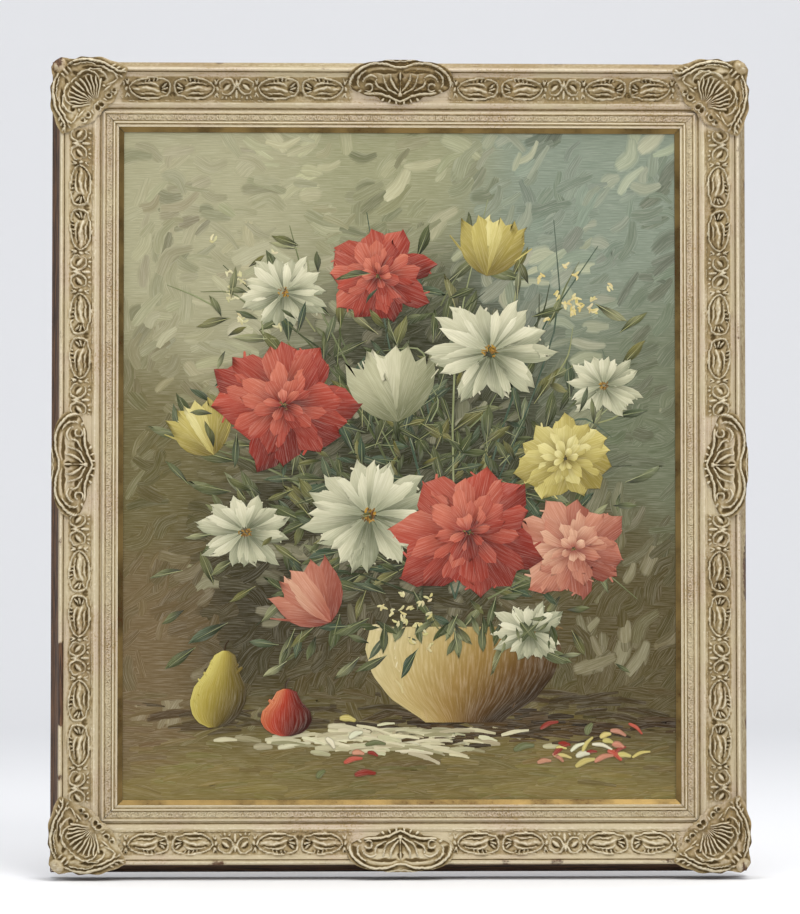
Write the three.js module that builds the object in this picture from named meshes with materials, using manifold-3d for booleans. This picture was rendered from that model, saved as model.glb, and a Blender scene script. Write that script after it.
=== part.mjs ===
// A framed oil painting: four mitred rails with a run of scrollwork, cast ornaments on the corners and
// centres, a gilded slip, and a canvas folded over four stretcher bars.
// Millimetres, +Z up, the picture faces -Y. The wall is the plane Y = 0, and the origin is on it, in the
// middle of the top rail's back face.

import * as THREE from 'three';
import { mergeVertices } from 'three/addons/utils/BufferGeometryUtils.js';
import Module from 'manifold-3d';

const wasm = await Module();
wasm.setup();

// Canvas and stretcher
const canvasWidth = 508;
const canvasHeight = 610;
const clothThickness = 0.9;
const clothFold = 16;
const barWidth = 45;
const barThickness = 15;
const barBead = 5;
const barSlope = 2.5;
const backRecess = 5;
const fitGap = 0.3;
const canvasEase = 2.5;

// Gilded slip: the flat that lies under the rail's lip, the slope that shows, and its thin edge
const slipFlat = 5.8;
const slipSlope = 4.6;
const slipThickness = 3.7;
const slipEdge = 0.9;

// Rail members, across the rail from the outer edge to the sight edge
const sideRun = 8.7;
const lipWidth = 3.9;
const grooveWidth = 1.1;
const coveWidth = 5.3;
const scrollBand = 17.4;
const cushionWidth = 7.2;
const quirkWidth = 0.8;
const hollowWidth = 2.4;
const filletWidth = 2.4;
const leafBand = 5.9;
const innerFillet = 2.5;
const sightFillet = 2.6;
const lipOverhang = 6.2;

// Rail heights, each a rise or fall from the member beside it
const sideBandHeight = 8;
const sideBead = 7.5;
const sideBeadRise = 1.6;
const lipThickness = 2.3;
const filletStep = 1.1;
const leafFall = 0.8;
const quirkDepth = 3;
const cushionRise = 2.6;
const scrollFall = 7.6;
const coveFall = 6.6;
const lipRound = 2.2;
const grooveDepth = 0.9;

// Run of scrollwork
const scrollPitch = 114;
const scrollHeight = 3.8;
const scrollWidth = 5;
const cellLength = 37;
const pearlRadius = 3;

// Cast ornaments
const cornerReach = 41;
const cornerOverhang = 0.6;
const cornerRelief = 3.6;
const fluteCount = 9;
const fluteLength = 25;
const fluteSpread = 104;
const centreLength = 94;
const centreWidth = 40;
const centreRelief = 4.2;
const castingSkirt = 3;
const coveFill = 0.6;

// Hidden fixings
const bradRadius = 0.8;
const bradLength = 13;
const bradInset = 120;
const eyeRadius = 4.4;
const eyeWire = 0.9;
const eyeShank = 4;
const eyeDrop = 150;

const railWidth = sideRun + lipWidth + grooveWidth + coveWidth + scrollBand + cushionWidth + quirkWidth
  + hollowWidth + filletWidth + leafBand + innerFillet + sightFillet;
const railBack = railWidth - lipOverhang;
const halfWidth = canvasWidth / 2 + canvasEase + railBack;
const halfHeight = canvasHeight / 2 + canvasEase + railBack;

const barFront = backRecess + barThickness;
const clothFront = barFront + fitGap + clothThickness;
const slipBack = clothFront + fitGap;
const rebateDepth = slipBack + slipThickness + fitGap;
const sightHeight = rebateDepth + lipThickness;
const filletHeight = sightHeight + filletStep + leafFall;
const cushionFoot = filletHeight + leafFall;
const coveFoot = cushionFoot + scrollFall;
const lipHeight = coveFoot + coveFall;

const bandStart = sideRun + lipWidth + grooveWidth + coveWidth;
const cushionStart = bandStart + scrollBand;
const quirkStart = cushionStart + cushionWidth;
const curveSteps = 2;

const sides = [
  { name: 'top', next: 'top_right', along: halfWidth, across: halfHeight },
  { name: 'right', next: 'bottom_right', along: halfHeight, across: halfWidth },
  { name: 'bottom', next: 'bottom_left', along: halfWidth, across: halfHeight },
  { name: 'left', next: 'top_left', along: halfHeight, across: halfWidth },
];

const paint = { color: 0xcfc6a6, roughness: 0.62, metalness: 0 };
const castPaint = { color: 0xc6bb96, roughness: 0.66, metalness: 0 };
const gilding = { color: 0xb08d4a, roughness: 0.38, metalness: 0.7 };
const oils = { color: 0x8f8d6c, roughness: 0.45, metalness: 0 };
const rawWood = { color: 0xb6946a, roughness: 0.8, metalness: 0 };
const wire = { color: 0x9c9488, roughness: 0.4, metalness: 0.9 };

function solidOf(geometry) {
  const bare = geometry.clone();
  bare.deleteAttribute('normal');
  bare.deleteAttribute('uv');
  const merged = mergeVertices(bare, 1e-4);
  return new wasm.Manifold(new wasm.Mesh({
    numProp: 3,
    vertProperties: new Float32Array(merged.attributes.position.array),
    triVerts: new Uint32Array(merged.index.array),
  }));
}

function geometryOf(solid) {
  const mesh = solid.getMesh();
  const geometry = new THREE.BufferGeometry();
  geometry.setAttribute('position', new THREE.BufferAttribute(mesh.vertProperties, 3));
  geometry.setIndex(new THREE.BufferAttribute(mesh.triVerts, 1));
  geometry.computeVertexNormals();
  return geometry;
}

// A closed mesh from points and triangles, turned so that its faces point out
function closedGeometry(points, faces) {
  let volume = 0;
  for (const [a, b, c] of faces) {
    volume += points[a].dot(new THREE.Vector3().crossVectors(points[b], points[c]));
  }
  const turned = volume > 0 ? faces : faces.map(([a, b, c]) => [a, c, b]);
  const geometry = new THREE.BufferGeometry().setFromPoints(points);
  geometry.setIndex(turned.flat());
  geometry.computeVertexNormals();
  return geometry;
}

// Rings of equal length, joined one to the next and capped at both ends
function loft(rings) {
  const count = rings[0].length;
  const faces = [];
  for (let r = 0; r + 1 < rings.length; r++) {
    for (let i = 0; i < count; i++) {
      const j = (i + 1) % count;
      const [a, b, c, d] = [r * count + i, r * count + j, (r + 1) * count + i, (r + 1) * count + j];
      faces.push([a, b, d], [a, d, c]);
    }
  }
  const last = (rings.length - 1) * count;
  const flat = capTriangles(rings[0]);
  flat.forEach(([a, b, c]) => faces.push([c, b, a], [last + a, last + b, last + c]));
  return closedGeometry(rings.flat(), faces);
}

function capTriangles(ring) {
  const edge = new THREE.Vector3().subVectors(ring[1], ring[0]);
  const normal = new THREE.Vector3();
  ring.forEach((point, i) => {
    const next = ring[(i + 1) % ring.length];
    normal.add(new THREE.Vector3().crossVectors(point, next));
  });
  const across = new THREE.Vector3().crossVectors(normal, edge).normalize();
  edge.normalize();
  return THREE.ShapeUtils.triangulateShape(
    ring.map((point) => new THREE.Vector2(point.dot(edge), point.dot(across))), []);
}

// The rail's members from the outer edge in, each a straight or a curve to its end point. Points are
// (inward, height above the wall). A round member bulges out, so what seats on it clears its control.
function railMembers() {
  const beadTop = sideBandHeight + sideBead;
  const lipEnd = sideRun + lipWidth;
  const lipFoot = lipHeight - lipRound;
  const quirkFloor = filletHeight - quirkDepth;
  const filletStart = quirkStart + quirkWidth + hollowWidth;
  const leafStart = filletStart + filletWidth;
  const leafEnd = leafStart + leafBand;
  const innerEnd = leafEnd + innerFillet;
  return [
    { to: [0, sideBandHeight] },
    { to: [sideRun / 3, beadTop], by: [sideRun / 4 - sideBeadRise, beadTop - sideBead / 2], round: true },
    { to: [sideRun, lipHeight - lipRound * 2], by: [sideRun * 0.8, beadTop + sideBead] },
    { to: [sideRun + lipWidth / 2, lipHeight], by: [sideRun, lipHeight], round: true },
    { to: [lipEnd, lipFoot], by: [lipEnd, lipHeight], round: true },
    { to: [lipEnd + grooveWidth / 3, lipFoot - grooveDepth], groove: true },
    { to: [lipEnd + grooveWidth, lipFoot] },
    { to: [bandStart, coveFoot], by: [bandStart - coveWidth * 0.7, coveFoot + grooveDepth] },
    { to: [cushionStart, cushionFoot] },
    { to: [quirkStart, filletHeight - leafFall], by: [cushionStart + cushionWidth / 2,
      cushionFoot + cushionRise], round: true },
    { to: [quirkStart + quirkWidth / 4, quirkFloor], groove: true },
    { to: [quirkStart + quirkWidth, quirkFloor], groove: true },
    { to: [filletStart, filletHeight], by: [filletStart, quirkFloor] },
    { to: [leafStart, filletHeight] },
    { to: [leafStart, filletHeight - leafFall], groove: true },
    { to: [leafEnd, sightHeight], groove: true },
    { to: [leafEnd, sightHeight + filletStep] },
    { to: [innerEnd, sightHeight + filletStep] },
    { to: [innerEnd, sightHeight] },
    { to: [railWidth, sightHeight] },
    { to: [railWidth, rebateDepth] },
    { to: [railBack, rebateDepth] },
    { to: [railBack, 0] },
  ];
}

function railSection() {
  const path = new THREE.Path();
  path.moveTo(0, 0);
  for (const { to, by } of railMembers()) {
    if (by) path.quadraticCurveTo(...by, ...to);
    else path.lineTo(...to);
  }
  return path.getPoints(curveSteps);
}

// The section that castings seat on: no grooves, chords over hollows, round members boxed in, the steps
// beyond the cushion boxed in too, and all of it moved out by the clearance
function seatSection() {
  const outline = [new THREE.Vector2(0, 0)];
  for (const { to, by, round, groove } of railMembers()) {
    if (to[0] > quirkStart) break;
    if (round) outline.push(new THREE.Vector2(...by));
    if (!groove) outline.push(new THREE.Vector2(...to));
  }
  const ledge = Math.max(filletHeight, sightHeight + filletStep);
  outline.push(new THREE.Vector2(quirkStart, ledge), new THREE.Vector2(railWidth, ledge),
    new THREE.Vector2(railWidth, 0));
  const apart = (p, q) => p.distanceTo(q) > 1e-3;
  const bends = (p, q, r) => Math.abs(q.clone().sub(p).cross(r.clone().sub(q))) > 1e-3;
  const points = outline.filter((point, i) => i === 0 || apart(point, outline[i - 1]))
    .filter((point, i, all) => bends(all.at(i - 1), point, all[(i + 1) % all.length]));
  return points.map((point, i) => {
    const before = points[(i + points.length - 1) % points.length];
    const after = points[(i + 1) % points.length];
    const first = outward(before, point);
    const second = outward(point, after);
    return point.clone().addScaledVector(first.clone().add(second), fitGap / (1 + first.dot(second)));
  });
}

function outward(from, to) {
  return new THREE.Vector2(from.y - to.y, to.x - from.x).normalize();
}

const section = railSection();
const seat = seatSection();

// Height of an outline at a distance in from the outer edge, level over the lip and outside it
function heightOn(outline, inward) {
  const crest = sideRun + lipWidth / 2;
  const start = outline.findIndex((point) => point.x >= crest);
  for (let i = start; i + 1 < outline.length; i++) {
    const [p, q] = [outline[i], outline[i + 1]];
    if (q.x > p.x && inward <= q.x) {
      return inward <= p.x ? p.y : THREE.MathUtils.lerp(p.y, q.y, (inward - p.x) / (q.x - p.x));
    }
  }
  return sightHeight;
}

function faceHeight(inward) {
  return heightOn(section, inward);
}

// The face that castings are modelled over: the seat, with the cove filled by a straight fall
function castingGround(inward) {
  const fall = Math.max(0, inward - sideRun - lipWidth - fitGap) * coveFill;
  return Math.max(heightOn(seat, inward), lipHeight + fitGap - fall);
}

// A bar of any section with mitred ends. Points of the outline are (inward, height), and the bar lies
// along X with its outer edge at Z = 0, growing towards -Z and -Y.
function mitredBar(outline, halfLength) {
  const back = fitGap / Math.SQRT2;
  const ringAt = (end) => outline.map((point) => new THREE.Vector3(
    end * (halfLength - point.x - back), -point.y, -point.x));
  return loft([ringAt(-1), ringAt(1)]);
}

// A carved ridge along a path on the rail's face. Path points are (along, inward), and its feet are
// sunk under the face so that it fuses with it.
function ridge(path, steps, width, height) {
  const line = new THREE.SplineCurve(path.map(([x, y]) => new THREE.Vector2(x, y)));
  const rings = [];
  for (let i = 0; i <= steps; i++) {
    const share = i / steps;
    const point = line.getPoint(share);
    const tangent = line.getTangent(share);
    const swell = 0.35 + 0.65 * Math.sin(Math.PI * (0.12 + 0.76 * share));
    const half = width * swell / 2;
    const foot = (side) => new THREE.Vector3(
      point.x - side * half * tangent.y, 0, -(point.y + side * half * tangent.x));
    const [left, right] = [foot(-1), foot(1)];
    left.y = -faceHeight(-left.z) + scrollHeight / 2;
    right.y = -faceHeight(-right.z) + scrollHeight / 2;
    const crest = new THREE.Vector3(point.x, -faceHeight(point.y) - height * swell, -point.y);
    rings.push([left, crest, right]);
  }
  return solidOf(loft(rings));
}

function pearl(along, inward, radius, height) {
  const sunk = height / 2;
  const cone = new THREE.ConeGeometry(radius, height + sunk, 5);
  cone.rotateX(Math.PI);
  cone.translate(along, -faceHeight(inward) - (height - sunk) / 2, -inward);
  return solidOf(cone);
}

// Half a unit of the run, from the joint where two scrolls meet to the bud in the middle of the next
// cluster. Places along are in millimetres from the joint, places across are shares of the band.
function halfUnit(joint, direction, parts) {
  const at = ([along, share]) => [joint + direction * along, bandStart + share * scrollBand];
  const half = scrollPitch / 2;
  const carved = [];
  if (parts.cell) {
    const c = cellLength;
    carved.push(ridge([[0.68 * c, 0.1], [0.38 * c, 0.14], [0.13 * c, 0.32], [0.05 * c, 0.6],
      [0.17 * c, 0.88], [0.4 * c, 1.02], [0.64 * c, 0.97], [0.76 * c, 0.78]].map(at),
    5, scrollWidth, scrollHeight));
    carved.push(ridge([[0.7 * c, 0.56], [0.76 * c, 0.24], [0.88 * c, 0.18], [0.98 * c, 0.4],
      [0.97 * c, 0.72]].map(at), 3, scrollWidth, scrollHeight));
    const [x, y] = at([0.58 * c, 0.52]);
    carved.push(pearl(x, y, pearlRadius, scrollHeight));
  }
  if (parts.cluster) {
    const start = cellLength + pearlRadius;
    const span = half - start;
    carved.push(ridge([[start + 0.1 * span, 0.42], [start + 0.35 * span, 0.14],
      [start + 0.72 * span, 0.16], [start + 0.86 * span, 0.5], [start + 0.5 * span, 0.86],
      [start + 0.1 * span, 0.9]].map(at), 4, scrollWidth, scrollHeight));
  }
  return carved;
}

// Joints of the run on one half of a rail, spread evenly between the centre and corner ornaments
function runJoints(halfLength) {
  const from = centreLength / 2;
  const to = halfLength - cornerReach - fluteLength;
  const count = Math.max(1, Math.round((to - from) / scrollPitch));
  const first = (from + to) / 2 - scrollPitch * (count - 1) / 2;
  return Array.from({ length: count }, (_, i) => first + i * scrollPitch);
}

function scrollRun(halfLength) {
  const outer = halfLength - cornerReach - fluteLength;
  const cellRoom = cellLength + scrollWidth / 2;
  const clusterRoom = scrollPitch / 2 + scrollWidth / 2;
  const carved = [];
  for (const joint of runJoints(halfLength)) {
    const roomIn = joint - centreLength / 2;
    const roomOut = outer - joint;
    for (const mirror of [-1, 1]) {
      carved.push(...halfUnit(mirror * joint, -mirror, {
        cell: roomIn > cellRoom, cluster: roomIn > clusterRoom }));
      carved.push(...halfUnit(mirror * joint, mirror, {
        cell: roomOut > cellRoom, cluster: roomOut > clusterRoom }));
    }
  }
  return carved;
}

function rail(side) {
  let solid = solidOf(mitredBar(section, side.along));
  for (const carved of scrollRun(side.along)) solid = solid.add(carved);
  return geometryOf(solid);
}

function slip(side) {
  const outer = railBack + fitGap;
  const land = outer + slipFlat;
  const edge = land + slipSlope;
  return mitredBar([[outer, slipBack], [outer, slipBack + slipThickness], [land, slipBack + slipThickness],
    [edge, slipBack + slipEdge], [edge, slipBack]].map(([x, y]) => new THREE.Vector2(x, y)), side.along);
}

// A cast ornament: rays of points from a middle to an outline, over a face, closed below
function casting(rays, middle, foot) {
  const points = rays.flatMap((ray) => [...ray, new THREE.Vector3(ray.at(-1).x, -foot, ray.at(-1).z)]);
  const rows = rays[0].length + 1;
  const faces = [];
  const top = points.length;
  const bottom = top + 1;
  points.push(middle, new THREE.Vector3(middle.x, -foot, middle.z));
  rays.forEach((_, i) => {
    const here = i * rows;
    const there = ((i + 1) % rays.length) * rows;
    faces.push([top, here, there], [bottom, there + rows - 1, here + rows - 1]);
    for (let r = 0; r + 1 < rows; r++) {
      faces.push([here + r, here + r + 1, there + r + 1], [here + r, there + r + 1, there + r]);
    }
  });
  return solidOf(closedGeometry(points, faces));
}

// Value at a place from pairs of place and value, eased between them
function eased(pairs, place) {
  for (let i = 0; i + 1 < pairs.length; i++) {
    const [[p, v], [q, w]] = [pairs[i], pairs[i + 1]];
    if (place <= q) return THREE.MathUtils.lerp(v, w, THREE.MathUtils.smoothstep(place, p, q));
  }
  return pairs.at(-1)[1];
}

// Corner ornament. Places are (along, down) from the frame's outer corner, and the shell opens from a
// hinge on the diagonal. Turn 0 points at the outer corner, 180 at the picture.
function cornerOutline(turn) {
  const edge = (cornerReach + cornerOverhang) / Math.cos(THREE.MathUtils.degToRad(45 - turn));
  const lobes = eased([[0, 0.92], [7, 1], [14, 0.95], [19, 0.94], [27, 1], [45, 1]], turn);
  const inner = eased([[45, cornerReach + cornerOverhang], [60, cornerReach * 1.03],
    [80, cornerReach], [88, cornerReach * 0.92], [97, cornerReach * 0.56], [118, cornerReach * 0.42],
    [140, cornerReach * 0.25], [180, cornerReach * 0.17]], turn);
  return turn < 45 ? edge * lobes : inner;
}

function cornerPoint(turn, radius, rise) {
  const angle = THREE.MathUtils.degToRad(45 - turn);
  const along = cornerReach - radius * Math.sin(angle);
  const down = cornerReach - radius * Math.cos(angle);
  return new THREE.Vector3(-along, -castingGround(Math.min(along, down)) - rise, -down);
}

function cornerRays() {
  const step = fluteSpread / (fluteCount - 1) / 2;
  const turns = [];
  for (let i = -fluteCount + 1; i < fluteCount; i++) turns.push({ turn: i * step, ridge: i % 2 === 0 });
  const edge = fluteSpread / 2;
  for (const share of [0.12, 0.25, 0.35, 0.52, 1]) {
    const turn = edge + (180 - edge) * share;
    turns.push({ turn, ridge: false });
    if (share < 1) turns.unshift({ turn: -turn, ridge: false });
  }
  return turns.map(({ turn, ridge: raised }) => {
    const reach = cornerOutline(Math.abs(turn));
    const high = cornerRelief * (raised ? 1 : 0.3);
    const rim = cornerRelief * eased([[0, 0.7], [18, 0.9], [32, 1.4], [75, 1.3], [95, 0.9], [180, 0.8]],
      Math.abs(turn));
    const inFan = Math.abs(turn) <= edge + 1;
    const belly = inFan ? fluteLength * 0.6 : reach * 0.4;
    const tip = inFan ? fluteLength : reach * 0.66;
    return [cornerPoint(turn, belly, inFan ? high : cornerRelief * 0.7),
      cornerPoint(turn, tip, inFan ? high * 1.1 : cornerRelief * 0.6),
      cornerPoint(turn, THREE.MathUtils.lerp(tip, reach, 0.6), rim),
      cornerPoint(turn, reach, rim * 0.5)];
  });
}

function cornerBoss() {
  const radius = cornerReach * 0.19;
  const place = radius - cornerOverhang * 0.7;
  const rounds = 7;
  const ringAt = (share, rise) => Array.from({ length: rounds }, (_, i) => {
    const turn = i * 2 * Math.PI / rounds;
    return new THREE.Vector3(-place + radius * share * Math.cos(turn), -lipHeight - rise,
      -place + radius * share * Math.sin(turn));
  });
  return solidOf(loft([ringAt(1, -cornerRelief), ringAt(0.9, cornerRelief * 0.9),
    ringAt(0.3, cornerRelief * 1.5)]));
}

// The rails' faces round a corner, grown by the clearance, as one mitred solid
function cornerSeat() {
  const far = cornerReach * 4;
  const ringAt = (along, down) => seat.map((point) => new THREE.Vector3(
    -(along ?? point.x), -point.y, -(down ?? point.x)));
  return solidOf(loft([ringAt(far, null), ringAt(null, null), ringAt(null, far)]));
}

function cornerOrnament() {
  const middle = cornerPoint(0, 0, cornerRelief * 0.8);
  const solid = casting(cornerRays(), middle, sightHeight - castingSkirt).add(cornerBoss());
  return largestPiece(solid.subtract(cornerSeat()));
}

function largestPiece(solid) {
  const pieces = solid.decompose();
  pieces.sort((a, b) => b.volume() - a.volume());
  return geometryOf(pieces[0]);
}

// Centre ornament: a lobed rim round a hollow, a palmette, and two scrolls that meet in a point on the
// cushion. Places are (along, inward) on the rail, and turn 0 points out of the frame.
function centreOutline(turn) {
  const half = centreLength / 2;
  const tall = centreWidth / 2;
  return eased([[0, tall * 0.9], [22, tall * 0.98], [45, tall * 1.2], [60, half * 0.68], [72, half * 0.86],
    [86, half], [97, half * 0.95], [107, half * 0.76], [119, half * 0.55], [136, tall * 1.14],
    [156, tall * 1.02], [180, tall]], Math.min(turn, 360 - turn));
}

function centrePoint(turn, share, rise) {
  const angle = THREE.MathUtils.degToRad(turn);
  const reach = centreOutline(turn) * share;
  const along = reach * Math.sin(angle);
  const inward = centreWidth / 2 + fitGap * 2 - reach * Math.cos(angle);
  return new THREE.Vector3(along, -castingGround(inward) - rise, -inward);
}

function centreRays() {
  const turns = [0, 15, 32, 52, 68, 80, 90, 99, 109, 121, 137, 157];
  const mirrored = turns.slice(1).reverse().map((turn) => 360 - turn);
  return [...turns, 180, ...mirrored].map((turn, i) => {
    const below = Math.min(turn, 360 - turn);
    const rim = centreRelief * eased([[0, 1], [70, 1.15], [105, 1], [125, 1.4], [180, 1.3]], below);
    const hollow = centreRelief * eased([[0, 0.6], [50, 0.55], [95, 0.25], [125, 0.5], [180, 0.4]], below);
    return [
      centrePoint(turn, 0.36, centreRelief * (i % 2 === 0 ? 0.95 : 0.4)),
      centrePoint(turn, 0.6, hollow),
      centrePoint(turn, 0.84, rim),
      centrePoint(turn, 1, rim * 0.5),
    ];
  });
}

function centreOrnament(side) {
  const middle = centrePoint(0, 0, centreRelief * 0.9);
  const solid = casting(centreRays(), middle, sightHeight - castingSkirt);
  return largestPiece(solid.subtract(solidOf(mitredBar(seat, side.along))));
}

function box(width, depth, height, y) {
  const geometry = new THREE.BoxGeometry(width, depth, height);
  geometry.translate(0, y, 0);
  return solidOf(geometry);
}

// The canvas: one cloth over the front and edges of the bars, folded behind them
function canvas() {
  const wrap = 2 * clothThickness;
  const foldBack = backRecess - fitGap - clothThickness;
  const depth = clothFront - foldBack;
  const middle = -(clothFront + foldBack) / 2;
  const outer = box(canvasWidth, depth, canvasHeight, middle);
  const inner = box(canvasWidth - wrap, depth - wrap, canvasHeight - wrap, middle);
  const opening = box(canvasWidth - 2 * clothFold, depth, canvasHeight - 2 * clothFold,
    middle + clothThickness);
  return geometryOf(outer.subtract(inner).subtract(opening));
}

function stretcherBar(side) {
  const wrap = clothThickness + fitGap;
  const start = railBack + canvasEase + wrap;
  const section = [[start, backRecess], [start, barFront], [start + barBead, barFront],
    [start + 2 * barBead, barFront - barSlope / 2], [start + barWidth, barFront - barSlope],
    [start + barWidth, backRecess]];
  return mitredBar(section.map(([x, y]) => new THREE.Vector2(x, y)), side.along);
}

// A brad in the rebate wall, over the folded cloth
function brad() {
  const geometry = new THREE.CylinderGeometry(bradRadius, bradRadius * 0.7, bradLength, 5);
  geometry.rotateX(Math.PI / 2);
  return geometry;
}

function screwEye() {
  const ring = new THREE.TorusGeometry(eyeRadius, eyeWire, 4, 9);
  ring.rotateX(Math.PI / 2);
  const shank = new THREE.CylinderGeometry(eyeWire, eyeWire, eyeShank + eyeWire, 4);
  shank.rotateX(Math.PI / 2);
  shank.translate(0, 0, eyeRadius + eyeShank - (eyeShank + eyeWire) / 2);
  return geometryOf(solidOf(ring).add(solidOf(shank)));
}

function named(name, geometry, look) {
  const mesh = new THREE.Mesh(geometry, new THREE.MeshStandardMaterial({ ...look, flatShading: true }));
  mesh.name = name;
  return mesh;
}

// Everything that repeats on the four sides, made for the top and turned
function sideGroup(side, turn) {
  const group = new THREE.Group();
  const outerEdge = new THREE.Group();
  outerEdge.position.z = side.across;
  outerEdge.add(named(`rail_${side.name}`, rail(side), paint));
  outerEdge.add(named(`slip_${side.name}`, slip(side), gilding));
  outerEdge.add(named(`centre_${side.name}`, centreOrnament(side), castPaint));
  outerEdge.add(named(`bar_${side.name}`, stretcherBar(side), rawWood));
  const corner = named(`corner_${side.next}`, cornerOrnament(), castPaint);
  corner.position.x = side.along;
  outerEdge.add(corner);
  const bradHeight = backRecess - 2 * fitGap - clothThickness - bradRadius;
  [-1, 1].forEach((end, i) => {
    const nail = named(`brad_${side.name}_${i + 1}`, brad(), wire);
    nail.position.set(end * (side.along - railBack - bradInset), -bradHeight,
      -(railBack + fitGap + bradLength / 2));
    outerEdge.add(nail);
  });
  group.add(outerEdge);
  group.rotation.y = turn * Math.PI / 2;
  return group;
}

function hangingEyes() {
  const height = backRecess - 2 * fitGap - clothThickness - eyeWire;
  return [-1, 1].map((end) => {
    const eye = named(end < 0 ? 'screw_eye_left' : 'screw_eye_right', screwEye(), wire);
    const reach = eyeRadius + eyeShank;
    eye.position.set(end * (halfWidth - railBack - fitGap - reach), -height, halfHeight - eyeDrop);
    eye.rotation.y = end * Math.PI / 2;
    return eye;
  });
}

const painting = new THREE.Group();
sides.forEach((side, turn) => painting.add(sideGroup(side, turn)));
painting.add(named('canvas', canvas(), oils));
painting.add(...hangingEyes());
painting.position.z = railBack / 2 - halfHeight;

const model = new THREE.Group();
model.add(painting);
export default model;
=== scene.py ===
# A worn swept frame round an oil painting. Lengths are in millimetres until they go into a mesh.
import math

import bpy
import numpy as np
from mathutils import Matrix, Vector


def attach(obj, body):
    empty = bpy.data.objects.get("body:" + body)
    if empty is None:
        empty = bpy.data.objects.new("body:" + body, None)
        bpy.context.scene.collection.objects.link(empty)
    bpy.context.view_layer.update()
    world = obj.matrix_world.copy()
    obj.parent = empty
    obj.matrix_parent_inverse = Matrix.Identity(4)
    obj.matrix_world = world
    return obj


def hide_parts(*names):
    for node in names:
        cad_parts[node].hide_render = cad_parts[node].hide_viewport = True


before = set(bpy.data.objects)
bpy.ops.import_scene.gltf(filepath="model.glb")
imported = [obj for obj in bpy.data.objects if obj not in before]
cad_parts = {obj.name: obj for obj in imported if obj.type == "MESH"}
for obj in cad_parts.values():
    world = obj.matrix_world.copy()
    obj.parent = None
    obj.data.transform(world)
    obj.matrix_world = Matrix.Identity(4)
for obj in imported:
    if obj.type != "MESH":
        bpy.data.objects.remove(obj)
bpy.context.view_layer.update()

print("frame loaded:", len(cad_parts), "nodes")

chance = np.random.default_rng(24)

size = {
    "halfWidth": 310.5,      # outer edge of the side rails from the middle
    "halfHeight": 361.5,
    "middle": -334.5,        # height of the picture's middle, from the hanging point
    "mitreGap": 0.2,
    "canvasWidth": 508.0,
    "canvasHeight": 610.0,
    "clothFront": 21.2,      # canvas face above the wall
    "clothBack": 3.8,
    "clothFold": 16.0,
    "clothThickness": 0.9,
    "sightInset": 8.2,       # canvas edge hidden by the slip
}

sides = {"top": 0, "right": 1, "bottom": 2, "left": 3}


def hue(red, green, blue):
    # a screen colour as the linear light that a shader takes
    shares = [c / 255 for c in (red, green, blue)]
    return [c / 12.92 if c < 0.04045 else ((c + 0.055) / 1.055) ** 2.4 for c in shares]


def reach(side):
    return size["halfWidth"] if side in ("top", "bottom") else size["halfHeight"]


def placed(side, along, inward, height):
    # from a place on one side of the frame to the shared frame, in metres
    turn = sides[side] * math.pi / 2
    across = (size["halfHeight"] if side in ("top", "bottom") else size["halfWidth"]) - inward
    right = along * math.cos(turn) + across * math.sin(turn)
    up = across * math.cos(turn) - along * math.sin(turn) + size["middle"]
    return np.stack([right, -height + 0 * right, up], -1) / 1000


def blot(x, y, scale, seed):
    # a smooth random field from -1 to 1, the same each run
    gx, gy = x / scale, y / scale
    ix, iy = np.floor(gx).astype(np.int64), np.floor(gy).astype(np.int64)
    fx, fy = gx - ix, gy - iy
    fx, fy = fx * fx * (3 - 2 * fx), fy * fy * (3 - 2 * fy)

    def corner(i, j):
        mixed = (i * 374761393 + j * 668265263 + seed * 1274126177) & 0xFFFFFFFF
        mixed = ((mixed ^ (mixed >> 13)) * 1103515245) & 0xFFFFFFFF
        return ((mixed ^ (mixed >> 16)) & 0xFFFF) / 32767.5 - 1

    low = corner(ix, iy) * (1 - fx) + corner(ix + 1, iy) * fx
    high = corner(ix, iy + 1) * (1 - fx) + corner(ix + 1, iy + 1) * fx
    return low * (1 - fy) + high * fy


def ease(value, low, high):
    share = np.clip((value - low) / (high - low), 0, 1)
    return share * share * (3 - 2 * share)


def curve(points, steps=8):
    # a smooth line through a few points
    knots = np.array(points, float)
    knots = np.vstack([2 * knots[0] - knots[1], knots, 2 * knots[-1] - knots[-2]])
    share = np.linspace(0, 1, steps, endpoint=False)[:, None]
    runs = []
    for a, b, c, d in zip(knots, knots[1:], knots[2:], knots[3:]):
        runs.append(0.5 * (2 * b + (c - a) * share + (2 * a - 5 * b + 4 * c - d) * share ** 2
                           + (3 * b - a - 3 * c + d) * share ** 3))
    return np.vstack(runs + [knots[-2][None]])


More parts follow.
